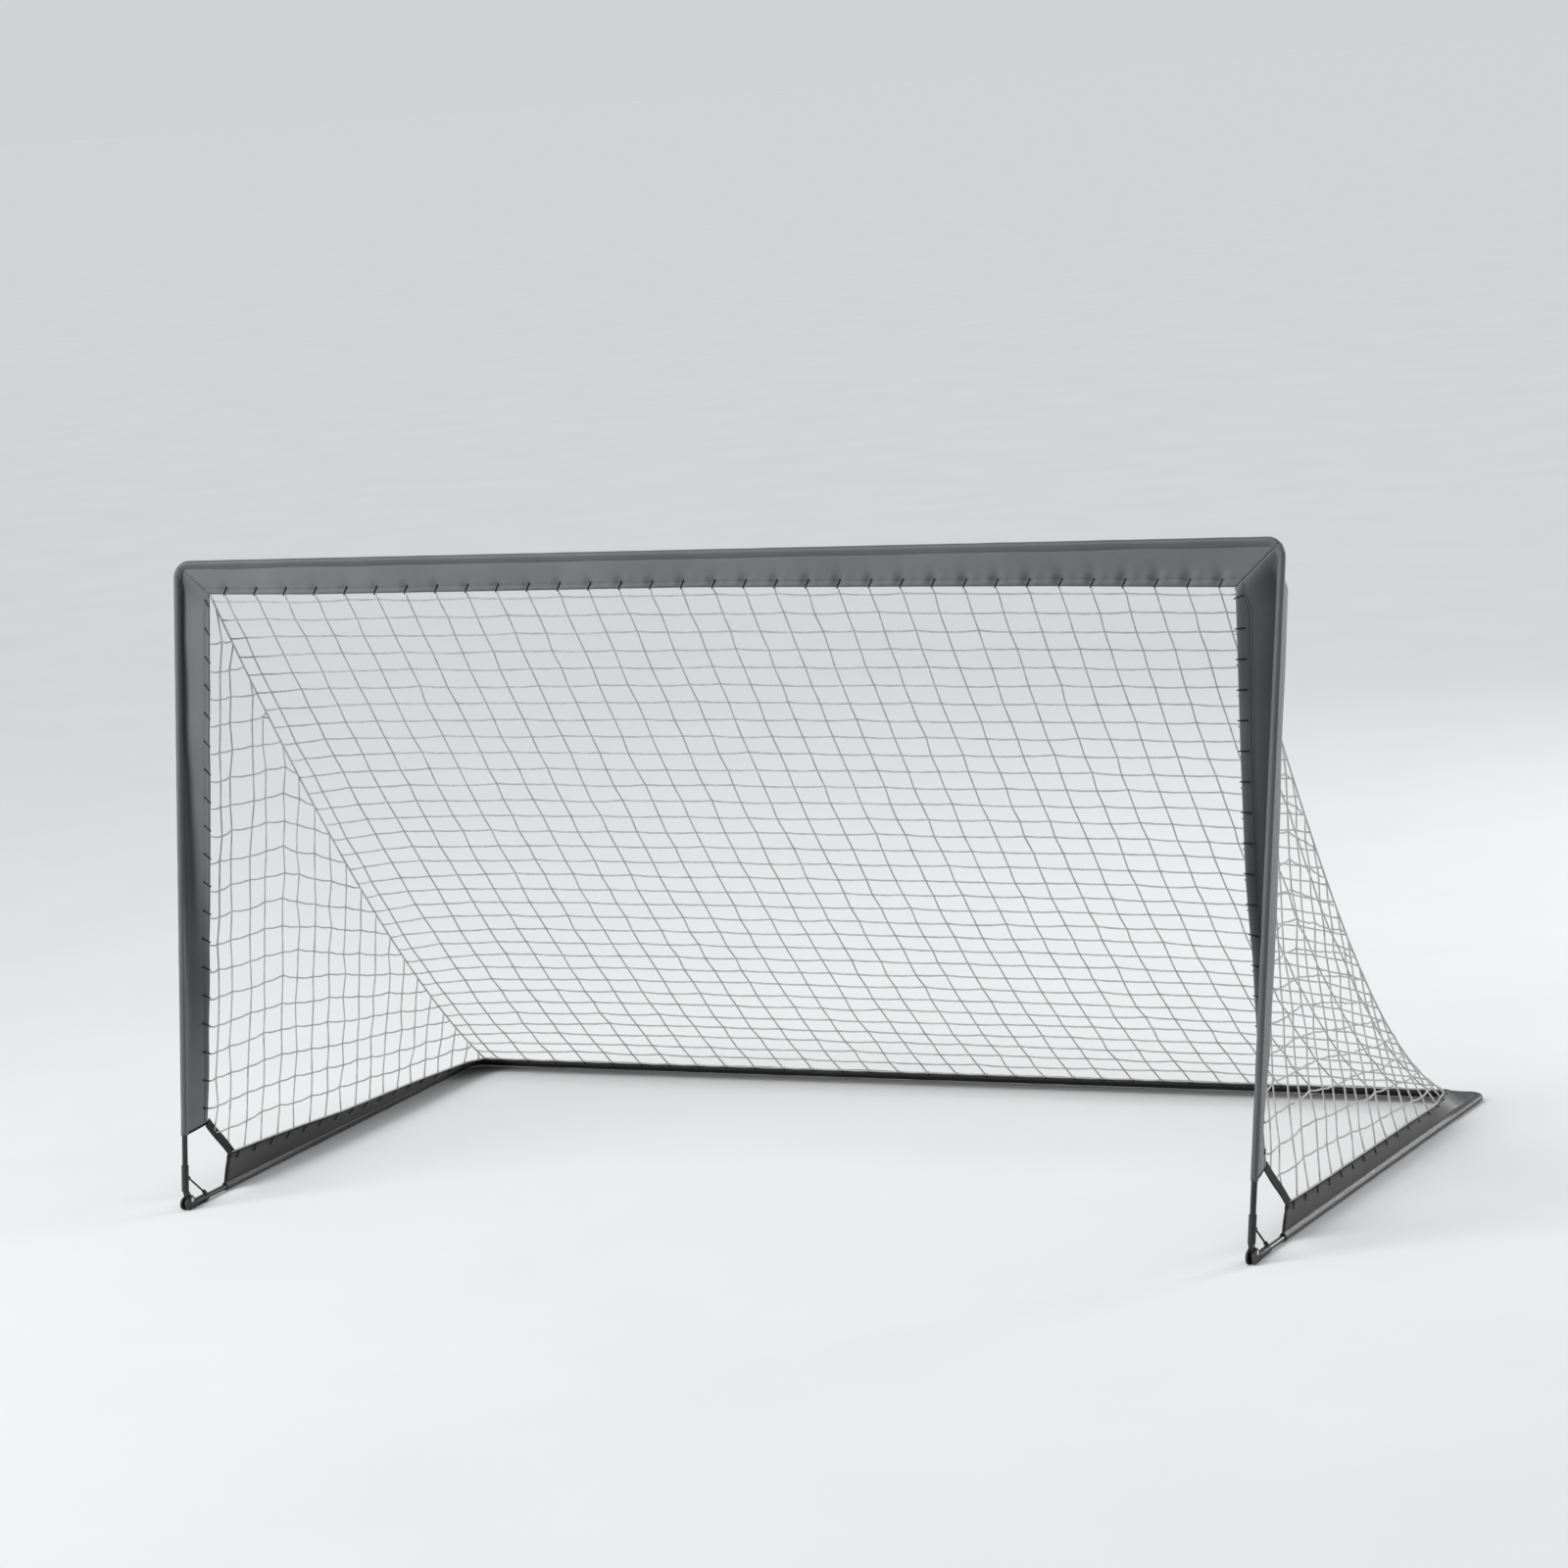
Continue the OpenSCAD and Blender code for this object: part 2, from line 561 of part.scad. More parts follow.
module side_net(side) {
    hip = hip_line(side);
    cord_room = hip_cord_d / 2 + seam_gap;
    color(twine) handed(side) in_net_plane(side)
        translate([-twine_d / 2, 0, 0]) plate_across_x(twine_d) difference() {
            polygon(concat(rail_hem(side), [for (i = [1:hip_steps - 1]) hip[i]], post_hem(side)));
            ribbon(hip, cord_room);
            difference() {
                side_gaps(side);
                ribbon(hip, cord_room + twine_d);
                for (line = [rail_hem(side), post_hem(side), strap_line(side)]) ribbon(line, twine_d);
            }
        }
}
module side_gaps(side) {
    top = on_sheet(side, top_corner);
    rear = on_sheet(side, rear_corner);
    for (y = [rear.x - side_mesh:-side_mesh:-side_mesh])
        for (z = [rear.y:side_mesh:top.y - side_mesh * (y - top.x) / (rear.x - top.x)])
            if ((y - top.x) / (rear.x - top.x) + (z - rear.y) / (top.y - rear.y) < 1)
                translate([y, z]) square(side_mesh - twine_d);
}

// Back net: flat stretches that follow the sag, each with its rows of gaps
module back_net() {
    inset = hip_cord_d / 2 + seam_gap;
    shares = [for (k = [0:net_folds]) k / net_folds];
    left = [for (t = shares) inset - hip_point(LEFT, t).x];
    right = [for (t = shares) hip_point(RIGHT, t).x - inset];
    sag = [for (t = shares) let(p = hip_point(RIGHT, t)) [p.y, p.z]];
    color(twine) for (k = [0:net_folds - 1]) {
        drop = sag[k + 1] - sag[k];
        translate([0, sag[k].x, sag[k].y]) rotate([atan2(drop.y, drop.x) + 180, 0, 0])
            linear_extrude(twine_d, center = true)
                net_stretch([left[k], left[k + 1]], [right[k], right[k + 1]],
                            norm(drop), [fold_room(sag, k), fold_room(sag, k + 1)]);
    }
}
// How far a stretch stops short of a fold, so that its edge clears the next stretch
function fold_room(line, k) =
    k == 0 || k == len(line) - 1 ? 0 :
    let(a = line[k] - line[k - 1], b = line[k + 1] - line[k],
        turn = acos(a * b / norm(a) / norm(b)))
    seam_gap / 2 + twine_d / 2 * tan(turn / 2);
module net_stretch(left, right, fall, room) {
    pitch = fall / net_rows;
    ends = [room[0] / fall, 1 - room[1] / fall];
    difference() {
        polygon(concat([for (t = ends) [mix(left[0], left[1], t), -t * fall]],
                       [for (t = reversed(ends)) [mix(right[0], right[1], t), -t * fall]]));
        for (r = [0:net_rows - 1]) {
            shares = [r / net_rows, (r + 1) / net_rows];
            from = max([for (t = shares) mix(left[0], left[1], t)]);
            to = min([for (t = shares) mix(right[0], right[1], t)]);
            step = (to - from) / net_columns;
            for (c = [0:net_columns - 1])
                translate([from + c * step + twine_d / 2, -(r + 1) * pitch + twine_d / 2])
                    square([step - twine_d, pitch - twine_d]);
        }
    }
}

module hip_cord(side) {
    color(twine) handed(side)
        cord([for (t = [0:1 / hip_steps:1]) hip_point(side, t)], hip_cord_d, [1, 0, 0]);
}

crossbar_pole(LEFT);  // crossbar_pole_left
crossbar_pole(RIGHT);  // crossbar_pole_right
crossbar_ferrule();
top_elbow(LEFT);  // top_elbow_left
top_elbow(RIGHT);  // top_elbow_right
post_pole_lower(LEFT);  // post_pole_lower_left
post_pole_lower(RIGHT);  // post_pole_lower_right
post_pole_upper(LEFT);  // post_pole_upper_left
post_pole_upper(RIGHT);  // post_pole_upper_right
post_ferrule(LEFT);  // post_ferrule_left
post_ferrule(RIGHT);  // post_ferrule_right
post_foot(LEFT);  // post_foot_left
post_foot(RIGHT);  // post_foot_right
front_shock_cord();
crossbar_sleeve();
post_sleeve(LEFT);  // post_sleeve_left
post_sleeve(RIGHT);  // post_sleeve_right
crossbar_band();
post_band(LEFT);  // post_band_left
post_band(RIGHT);  // post_band_right
foot_knuckle(LEFT);  // foot_knuckle_left
foot_knuckle(RIGHT);  // foot_knuckle_right
hinge_pin(LEFT);  // hinge_pin_left
hinge_pin(RIGHT);  // hinge_pin_right
rail_pole_front(LEFT);  // rail_pole_front_left
rail_pole_front(RIGHT);  // rail_pole_front_right
rail_pole_rear(LEFT);  // rail_pole_rear_left
rail_pole_rear(RIGHT);  // rail_pole_rear_right
rail_ferrule(LEFT);  // rail_ferrule_left
rail_ferrule(RIGHT);  // rail_ferrule_right
rear_elbow(LEFT);  // rear_elbow_left
rear_elbow(RIGHT);  // rear_elbow_right
rear_pole(LEFT);  // rear_pole_left
rear_pole(RIGHT);  // rear_pole_right
rear_ferrule();
base_shock_cord();
rail_sleeve(LEFT);  // rail_sleeve_left
rail_sleeve(RIGHT);  // rail_sleeve_right
rear_sleeve();
rail_band(LEFT);  // rail_band_left
rail_band(RIGHT);  // rail_band_right
rear_band();
stay_cord(LEFT);  // stay_cord_left
stay_cord(RIGHT);  // stay_cord_right
corner_strap(LEFT);  // corner_strap_left
corner_strap(RIGHT);  // corner_strap_right
back_net();
side_net(LEFT);  // side_net_left
side_net(RIGHT);  // side_net_right
hip_cord(LEFT);  // hip_cord_left
hip_cord(RIGHT);  // hip_cord_right
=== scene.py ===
import json
import math
import random
from functools import partial

import bmesh
import bpy
from bpy.props import FloatProperty, FloatVectorProperty, IntProperty, PointerProperty
from mathutils import Matrix, Vector


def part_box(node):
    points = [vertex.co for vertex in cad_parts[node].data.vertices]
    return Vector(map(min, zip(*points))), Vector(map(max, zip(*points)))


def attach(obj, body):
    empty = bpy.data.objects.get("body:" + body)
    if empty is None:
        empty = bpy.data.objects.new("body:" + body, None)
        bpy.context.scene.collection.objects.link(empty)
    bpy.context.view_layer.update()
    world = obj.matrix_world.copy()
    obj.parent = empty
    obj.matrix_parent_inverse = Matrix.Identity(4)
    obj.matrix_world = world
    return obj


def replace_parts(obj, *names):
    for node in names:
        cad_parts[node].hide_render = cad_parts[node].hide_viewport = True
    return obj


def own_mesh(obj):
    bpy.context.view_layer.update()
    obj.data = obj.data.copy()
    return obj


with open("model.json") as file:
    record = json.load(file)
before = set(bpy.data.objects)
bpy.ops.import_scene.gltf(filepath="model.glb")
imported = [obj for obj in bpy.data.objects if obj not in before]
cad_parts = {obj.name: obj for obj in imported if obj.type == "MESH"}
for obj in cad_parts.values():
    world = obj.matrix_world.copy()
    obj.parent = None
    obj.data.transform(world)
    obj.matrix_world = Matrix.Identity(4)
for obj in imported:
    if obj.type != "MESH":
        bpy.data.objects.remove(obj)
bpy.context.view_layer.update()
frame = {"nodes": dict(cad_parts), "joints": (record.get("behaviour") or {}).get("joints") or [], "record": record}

bl_info = {
    "name": "Folding goal",
    "version": (1, 0, 0),
    "blender": (4, 5, 0),
    "location": "3D View > Sidebar > Goal",
    "description": "Cloth sleeves, netting, cords and finishes for a portable folding goal",
    "category": "Object",
}

MM = 0.001


def middle(node):
    low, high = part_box(node)
    return (low + high) / 2


# ---- The two U-shaped frames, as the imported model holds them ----
FOLD = frame["joints"][0]
PIVOT = Vector(FOLD["pos_m"])
TOP_AXIS = middle("crossbar_ferrule")
REAR_AXIS = middle("rear_ferrule")
AXIS_Z = REAR_AXIS.z
FRONT_Y = -REAR_AXIS.y
FOOT_X = middle("hinge_pin_right").x
LEAN = math.atan2(TOP_AXIS.y - FRONT_Y, TOP_AXIS.z - AXIS_Z)
ACROSS = Vector((1, 0, 0))
SIDES = {"left": -1, "right": 1}


def mix(a, b, share):
    return a + (b - a) * share


def along_list(table, share):
    """A value read from a list of (share, value) pairs."""
    for (a, low), (b, high) in zip(table, table[1:]):
        if share <= b:
            return mix(low, high, max(0.0, (share - a) / (b - a)))
    return table[-1][1]


class Plane:
    """The plane of one frame: x across, n towards the inside of the net, s along the legs."""

    def __init__(self, body, along, inward, length):
        self.body, self.along, self.inward, self.length = body, Vector(along), Vector(inward), length

    def point(self, x, n, s):
        return Vector((x, FRONT_Y, AXIS_Z)) + n * self.inward + s * self.along

    def leg_x(self, s):
        return FOOT_X + sizes().leg_spread * s / self.length


FRONT = Plane("front_frame", (0, math.sin(LEAN), math.cos(LEAN)), (0, math.cos(LEAN), -math.sin(LEAN)),
              math.hypot(TOP_AXIS.y - FRONT_Y, TOP_AXIS.z - AXIS_Z))
BASE = Plane("base", (0, 1, 0), (0, 0, 1), REAR_AXIS.y - FRONT_Y)

# How the bands hang along each leg, as (share of the leg, value) pairs. A hem's turn about its pole is in
# degrees, and 0 lies in the frame's plane; its chord is the distance from the pole's axis in mm, and its drape
# is how many mm the cloth stands straight back from the pocket before it turns to the hem.
POST_TURN = [(0.13, 85), (0.28, 68), (0.416, 49), (0.525, 28), (0.722, 9), (0.92, 0)]
POST_CHORD = {
    "left": [(0.13, 59), (0.28, 50), (0.416, 45.5), (0.525, 46.5), (0.722, 53), (0.92, 61)],
    "right": [(0.13, 59), (0.28, 50), (0.416, 45.5), (0.525, 46.5), (0.722, 55), (0.92, 67)],
}
POST_DRAPE = {
    "left": [(0.13, 4), (0.416, 14), (0.525, 14), (0.722, 5), (1, 2)],
    "right": [(0.13, 12), (0.28, 36), (0.416, 44), (0.525, 44), (0.722, 36), (1, 34)],
}
RAIL_TURN = {
    "left": [(0.13, 88), (0.47, 54), (0.72, 42), (0.9, 30), (0.945, 22)],
    "right": [(0.13, 92), (0.78, 90), (0.87, 60), (0.945, 22)],
}
RAIL_CHORD = {
    "left": [(0.13, 51), (0.9, 50), (0.945, 52)],
    "right": [(0.13, 46), (0.3, 42), (0.7, 38), (0.8, 36), (0.87, 37), (0.945, 52)],
}

# From the crossbar's axis to its band's hem in mm, from the left end to the right one.
CROSSBAR_REACH = [(0, 49), (0.1, 52), (0.5, 52), (0.62, 55), (0.84, 60), (0.94, 64), (1, 66)]

# How deep the puckers at the crossbar's ties are in mm, from the left to the right, and how far each spreads
# along the hem: its hollow, the cloth that rises beside it, and the fold that runs from it towards the pole.
PUCKERS = [(0, 1.4), (0.35, 1.7), (0.6, 2.6), (1, 3.0)]
PUCKER_END = 40 * MM
HOLLOW_SPREAD, HOLLOW_WIDTH = 6 * MM, 9 * MM
RISE_PLACE, RISE_SPREAD, RISE_SHARE = 13 * MM, 7 * MM, 0.4
CREASE_SPREAD, CREASE_LENGTH, CREASE_SHARE = 9 * MM, 34 * MM, 0.5

# Netting: its gap from a hem, how much wider apart the columns are at the left, how much further back than its
# middle each side edge sags most, and the share of half the net's width over which the middle's sag turns into
# the edge's.
NET_GAP = 1.5 * MM
COLUMN_SHIFT = 0.07
HIP_SKEW = {"left": 0.0, "right": 0.4}
HIP_BLEND = 0.12

# Strands: how unevenly the knots lie and how far a strand hangs between two, where the first ones lie, and a
# knot's radius as a share of the twine's thickness.
BACK_JITTER, BACK_SLACK = 1.6 * MM, 0.8 * MM
SIDE_JITTER, SIDE_SLACK = 2.6 * MM, 1.6 * MM
FIRST_ROW, FIRST_UPRIGHT, SHORTEST_UPRIGHT = 12 * MM, 18 * MM, 8 * MM
KNOT_SHARE = 0.8

# The side nets' least fall as a share of side_droop, and their pleats: how deep they are, how far behind the
# post they end, and the share of their depth at the floor.
LEAST_FALL = 0.15
PLEAT_DEPTH, PLEAT_END, PLEAT_FOOT = 7 * MM, 0.3, 0.2

# Cloth: how far from a corner a leg's band starts to turn into the cross band, the gap between the two at the
# mitre, a bound edge's tape, and the shares of a leg band's width over which its turn is rounded and its face
# measured.
CORNER_EASE = 45 * MM
MITRE_GAP = 0.4 * MM
TAPE_WIDTH = 5 * MM
SOFT_ELBOW, FACE_STEP = 0.09, 0.03

# Pockets: how much closer than its radius a pocket draws in round its pole, how wide its nose is in radians,
# and the steps round it and along half a bend.
POCKET_EASE, NOSE_SPREAD = 0.3 * MM, 0.42
POCKET_SIDES, BEND_STEPS = 20, 7


# ---- Sizes and colours that a user would change ----
def length_property(name, description, default, least=0.0):
    """A length, with its default and its least value in mm."""
    return FloatProperty(name=name, description=description, default=default * MM, min=least * MM,
                         unit="LENGTH")


def colour_property(name, description, default):
    return FloatVectorProperty(name=name, description=description, default=default, size=3, subtype="COLOR")


class GoalSizes(bpy.types.PropertyGroup):
    """Sizes of the cloth, cords and netting"""
    leg_spread: length_property("Leg spread", "How far each leg spreads at its far end", 36)
    bend_radius: length_property("Bend radius", "Centre-line radius of the bent corner poles", 22, 10)
    rear_tilt: FloatProperty(name="Rear tilt", description="Tilt of the rear band from the floor",
                             default=math.radians(22), subtype="ANGLE")
    base_reach: length_property("Base band reach", "From a base pole's axis to its band's hem", 52, 20)
    pocket_radius: length_property("Pocket radius", "Outside radius of the pole pockets", 6, 4)
    pocket_nose: length_property("Pocket nose", "How far a pocket draws out towards its band", 3.2)
    pocket_wall: length_property("Pocket wall", "Thickness of the pocket cloth", 0.8, 0.2)
    post_start: length_property("Post sleeve start", "From the floor corner to a post sleeve's end", 113, 50)
    rail_start: length_property("Rail sleeve start", "From the floor corner to a rail sleeve's end", 122, 50)
    band_reach: length_property("Band reach", "From a pole's axis across the uncut cloth to its hem", 64, 20)
    band_slant: length_property("Band slant", "How much later a band starts at its hem", 16)
    hem_width: length_property("Hem width", "Width of the folded hem on each band", 11, 2)
    twine: length_property("Twine", "Thickness of the net's twine", 2.8, 0.5)
    hip_cord: length_property("Join cord", "Thickness of the cord where two nets join", 3.2, 1)
    hip_sag: length_property("Side sag", "Sag of the back net's side edges", 103)
    hip_draw: length_property("Side draw", "How far the back net's side edges draw inwards", 13)
    net_sag: length_property("Net sag", "Sag of the back net in its middle", 80)
    side_droop: FloatProperty(name="Side droop", default=0.6, min=0, max=0.8,
                              description="Slope of a side net's highest strands, to its hip")
    side_level: length_property("Side level", "How far back from its post a side net stays level", 175)
    columns: IntProperty(name="Columns", description="Meshes across the back net", default=33, min=4)
    rows: IntProperty(name="Rows", description="Meshes down the back net", default=34, min=4)
    side_pitch: length_property("Side pitch", "Distance between a side net's upright strands", 46.7, 10)
    side_rise: length_property("Side rise", "Distance between a side net's level strands", 43.5, 10)
    stay: length_property("Stay", "Thickness of the stay cords", 3)
    strap_width: length_property("Strap width", "Width of the corner straps", 16)
    strap_set: length_property("Strap set", "From the rail band's corner back to the strap's end", 9)
    fold_keep: FloatProperty(name="Folded share", description="Share of its depth that folded netting keeps",
                             default=0.056, min=0.01, max=1, subtype="FACTOR")


class GoalColours(bpy.types.PropertyGroup):
    """Colours of the finishes"""
    cloth: colour_property("Cloth", "Satin cloth of the sleeves and bands", (0.072, 0.073, 0.076))
    # Painted shade: the base's cloth is the same satin as the front's, given a darker colour to stand for the
    # shade the base lies in.
    base_cloth: colour_property("Base cloth", "Satin cloth of the base's sleeves and bands",
                                (0.022, 0.022, 0.023))
    binding: colour_property("Binding", "Tape on the cloth's edges", (0.012, 0.012, 0.013))
    twine: colour_property("Twine", "Twine of the nets", (0.42, 0.42, 0.41))
    pole: colour_property("Pole", "Enamel on the poles", (0.012, 0.012, 0.013))
    fitting: colour_property("Fitting", "Moulded corner fittings", (0.016, 0.016, 0.017))
    floor: colour_property("Floor", "Floor and backdrop", (0.78, 0.78, 0.78))


def sizes():
    return bpy.context.scene.goal_sizes


def colours():
    return bpy.context.scene.goal_colours


# ---- Materials ----
def feed(tree, node, inputs):
    """Fills a node's sockets, or links them where the value is itself a socket."""
    for name, value in inputs.items():
        if isinstance(value, bpy.types.NodeSocket):
            tree.links.new(value, node.inputs[name])
        else:
            node.inputs[name].default_value = value


class Finish:
    """Builds one procedural material, a step at a time."""

    def __init__(self, name, colour, roughness, metallic=0.0, sheen=0.0, coat=0.0, specular=0.5):
        self.material = bpy.data.materials.new(name)
        self.material.use_nodes = True
        self.tree = self.material.node_tree
        self.surface({"Base Color": (*colour, 1), "Roughness": roughness, "Metallic": metallic,
                      "Sheen Weight": sheen, "Coat Weight": coat, "Specular IOR Level": specular})
        place = self.node("TexCoord", {})
        self.sources = {"object": place.outputs["Object"], "uv": place.outputs["UV"]}
        self.colour, self.tint, self.normal = colour, None, None

    def surface(self, inputs):
        feed(self.tree, self.tree.nodes["Principled BSDF"], inputs)

    def node(self, kind, inputs, **settings):
        """A new node with the given settings and inputs."""
        made = self.tree.nodes.new(f"ShaderNode{kind}")
        for key, value in settings.items():
            setattr(made, key, value)
        feed(self.tree, made, inputs)
        return made

    def texture(self, kind, source, scale, inputs, **settings):
        """A new texture of coordinates times a scale, which is one number or three."""
        scale = scale if isinstance(scale, tuple) else (scale,) * 3
        place = self.node("Mapping", {"Vector": self.sources[source], "Scale": scale})
        inputs = {"Vector": place.outputs["Vector"], "Scale": 1.0, **inputs}
        return self.node(f"Tex{kind}", inputs, **settings).outputs["Fac"]

    def noise(self, source, scale, detail=3.0):
        return self.texture("Noise", source, scale, {"Detail": detail})

    def threads(self, scale, direction):
        return self.texture("Wave", "uv", scale, {"Distortion": 0.6}, bands_direction=direction)

    def math(self, operation, a, b=0.0):
        return self.node("Math", {0: a, 1: b}, operation=operation).outputs[0]

    def ranged(self, value, low, high):
        """Brings the middle of a noise's range to low and high."""
        ends = {"From Min": 0.3, "From Max": 0.7, "To Min": low, "To Max": high}
        return self.node("MapRange", {"Value": value, **ends}).outputs["Result"]

    def shade(self, value, dark, light):
        """Varies the colour from dark to light times itself."""
        low, high = ((*[min(1, c * times) for c in self.colour], 1) for times in (dark, light))
        self.blend(self.ranged(value, 0, 1), low, high)

    def blend(self, factor, first, second):
        """Mixes two colours into the base colour."""
        ends = {"Factor": factor, "A": first, "B": second}
        self.tint = self.node("Mix", ends, data_type="RGBA").outputs["Result"]
        self.surface({"Base Color": self.tint})

    def gloss(self, value, low, high):
        self.surface({"Roughness": self.ranged(value, low, high)})

    def bump(self, height, depth, strength):
        under = {"Normal": self.normal} if self.normal else {}
        inputs = {"Height": height, "Distance": depth, "Strength": strength, **under}
        self.normal = self.node("Bump", inputs).outputs["Normal"]
        self.surface({"Normal": self.normal})

    def stitched(self, rows, colour, pitch=3.2 * MM, width=0.45 * MM):
        """Dashed rows of thread at the given heights on the UV map, which is in metres."""
        along, across = self.node("SeparateXYZ", {0: self.sources["uv"]}).outputs[:2]
        dash = self.math("LESS_THAN", self.math("FRACT", self.math("DIVIDE", along, pitch)), 0.68)
        on = None
        for row in rows:
            near = self.math("LESS_THAN", self.math("ABSOLUTE", self.math("SUBTRACT", across, row)), width)
            on = near if on is None else self.math("MAXIMUM", on, near)
        self.blend(self.math("MULTIPLY", on, dash), self.tint, (*colour, 1))


def satin_cloth(name, colour, sheen):
    made = Finish(name, colour, 0.42, sheen=sheen)
    made.shade(made.noise("object", 7), 0.86, 1.16)
    made.gloss(made.noise("uv", (60, 900, 1)), 0.36, 0.5)
    made.bump(made.threads((900, 0, 0), "X"), 0.05 * MM, 0.5)
    made.bump(made.threads((0, 900, 0), "Y"), 0.05 * MM, 0.5)
    made.bump(made.noise("uv", (45, 90, 1)), 0.5 * MM, 0.35)
    rows = [sizes().pocket_radius + 2.2 * MM, fold_line() - 1.2 * MM, fold_line() + 1.2 * MM]
    made.stitched(rows, (0.03, 0.03, 0.032))
    return made.material


def edge_binding():
    made = Finish("edge_binding", colours().binding, 0.62, specular=0.2)
    made.shade(made.noise("object", 30), 0.8, 1.5)
    made.bump(made.threads((1400, 0, 0), "X"), 0.12 * MM, 0.8)
    return made.material


def mottled(name, colour, roughness, tint, grain, gloss=None, detail=3.0, **looks):
    """A finish that noise varies. Tint and gloss are (scale, low, high), and grain (scale, mm, strength)."""
    made = Finish(name, colour, roughness, **looks)
    made.shade(made.noise("object", tint[0]), *tint[1:])
    if gloss:
        made.gloss(made.noise("object", gloss[0]), *gloss[1:])
    made.bump(made.noise("object", grain[0], detail), grain[1] * MM, grain[2])
    return made.material


def braided(name, colour, roughness=0.7):
    return mottled(name, colour, roughness, (80, 0.75, 1.4), (1300, 0.2, 0.8), detail=1.0, specular=0.2)


def drawn_steel(name, roughness):
    return mottled(name, (0.56, 0.56, 0.57), roughness, (90, 0.85, 1.1), (900, 0.03, 0.4),
                   (400, roughness * 0.8, roughness * 1.3), metallic=1.0)


MAKERS = {
    "cloth": lambda: satin_cloth("satin_cloth", colours().cloth, 0.25),
    # Painted shade: a darker copy of the front's satin, standing for the shade on the base's cloth.
    "base_cloth": lambda: satin_cloth("base_satin_cloth_painted_shade", colours().base_cloth, 0.05),
    "binding": edge_binding,
    "twine": lambda: mottled("net_twine", colours().twine, 0.74, (55, 0.82, 1.16), (1500, 0.25, 0.7),
                             sheen=0.2),
    "pole": lambda: mottled("pole_enamel", colours().pole, 0.34, (25, 0.8, 1.6), (700, 0.03, 0.5),
                            (180, 0.28, 0.44), coat=0.1, specular=0.4),
    "fitting": lambda: mottled("moulded_plastic", colours().fitting, 0.5, (60, 0.8, 1.5), (1600, 0.06, 0.6),
                               (240, 0.42, 0.58), specular=0.35),
    "stay": lambda: braided("stay_braid", (0.012, 0.012, 0.012)),
    "webbing": lambda: braided("strap_webbing", (0.01, 0.01, 0.011), 0.6),
    "elastic": lambda: braided("elastic_braid", (0.05, 0.05, 0.052)),
    "ferrule": lambda: drawn_steel("ferrule_steel", 0.34),
    "pin": lambda: drawn_steel("pin_steel", 0.26),
}
MADE = {}


def finish(name):
    """The material of that name, made once."""
    if name not in MADE:
        MADE[name] = MAKERS[name]()
    return MADE[name]


# ---- Mesh helpers ----
def grid(columns, rows, place, uv_size):
    """A grid with each corner moved to place(u, w), for u and w from 0 to 1, and a UV map in metres."""
    bm = bmesh.new()
    bmesh.ops.create_grid(bm, x_segments=columns, y_segments=rows, size=0.5)
    layer = bm.loops.layers.uv.new("UVMap")
    for face in bm.faces:
        for loop in face.loops:
            loop[layer].uv = ((loop.vert.co.x + 0.5) * uv_size[0], (loop.vert.co.y + 0.5) * uv_size[1])
    for vert in bm.verts:
        vert.co = place(vert.co.x + 0.5, vert.co.y + 0.5)
    return bm


def close_up(bm, ends=True):
    """Welds a wrapped grid along its seam, fills its ends if asked, and turns its faces outwards."""
    bmesh.ops.remove_doubles(bm, verts=bm.verts, dist=1e-6)
    if ends:
        bmesh.ops.holes_fill(bm, edges=[e for e in bm.edges if e.is_boundary], sides=0)
    bmesh.ops.recalc_face_normals(bm, faces=bm.faces)


def placed(name, data):
    """A new object of the scene."""
    made = bpy.data.objects.new(name, data)
    bpy.context.scene.collection.objects.link(made)
    return made


def piece(name, bm, *finishes):
    """A new smooth piece from a bmesh."""
    mesh = bpy.data.meshes.new(name)
    bm.to_mesh(mesh)
    bm.free()
    for each in finishes:
        mesh.materials.append(finish(each))
    mesh.polygons.foreach_set("use_smooth", [True] * len(mesh.polygons))
    return placed(name, mesh)


def tubes(runs, radius, sides=1, closed=False):
    """A bmesh of round tubes that follow the given runs of points."""
    data = bpy.data.curves.new("runs", "CURVE")
    data.dimensions = "3D"
    data.bevel_depth, data.bevel_resolution, data.use_fill_caps = radius, sides, not closed
    for run in runs:
        spline = data.splines.new("POLY")
        spline.points.add(len(run) - 1)
        for point, co in zip(spline.points, run):
            point.co = (*co, 1)
        spline.use_cyclic_u = closed
    carrier = placed("runs", data)
    bpy.context.view_layer.update()
    mesh = bpy.data.meshes.new_from_object(carrier.evaluated_get(bpy.context.evaluated_depsgraph_get()))
    bm = bmesh.new()
    bm.from_mesh(mesh)
    bpy.data.objects.remove(carrier)
    bpy.data.curves.remove(data)
    bpy.data.meshes.remove(mesh)
    return bm


def add_knots(bm, points, radius):
    for point in points:
        bmesh.ops.create_icosphere(bm, subdivisions=1, radius=radius, matrix=Matrix.Translation(point))


# ---- Cloth ----
def far_tilt(plane):
    return sizes().rear_tilt if plane is BASE else 0.0


def cross_reach(plane, share):
    """From a cross pole's axis to its band's hem, at a share of the way from left to right."""
    return sizes().base_reach if plane is BASE else along_list(CROSSBAR_REACH, share) * MM


def corner_reach(plane, hand):
    """The same at a corner."""
    return cross_reach(plane, (1 + SIDES[hand]) / 2)


def across_share(across):
    """A distance across the cloth as a share of the way from its pocket to its hem."""
    s = sizes()
    return (across - s.pocket_radius) / (s.band_reach - s.pocket_radius)


def pole_distance(reach, across):
    """How far out from its pole a distance across the cloth lies, on a band of that reach."""
    return mix(sizes().pocket_radius, reach, across_share(across))


def fold_line():
    """Where the folded hem is sewn down, as a distance across the cloth."""
    return sizes().band_reach - sizes().hem_width


def sleeve_start(plane):
    return sizes().rail_start if plane is BASE else sizes().post_start


def band_start(plane, across):
    return sleeve_start(plane) + sizes().band_slant * across_share(across)


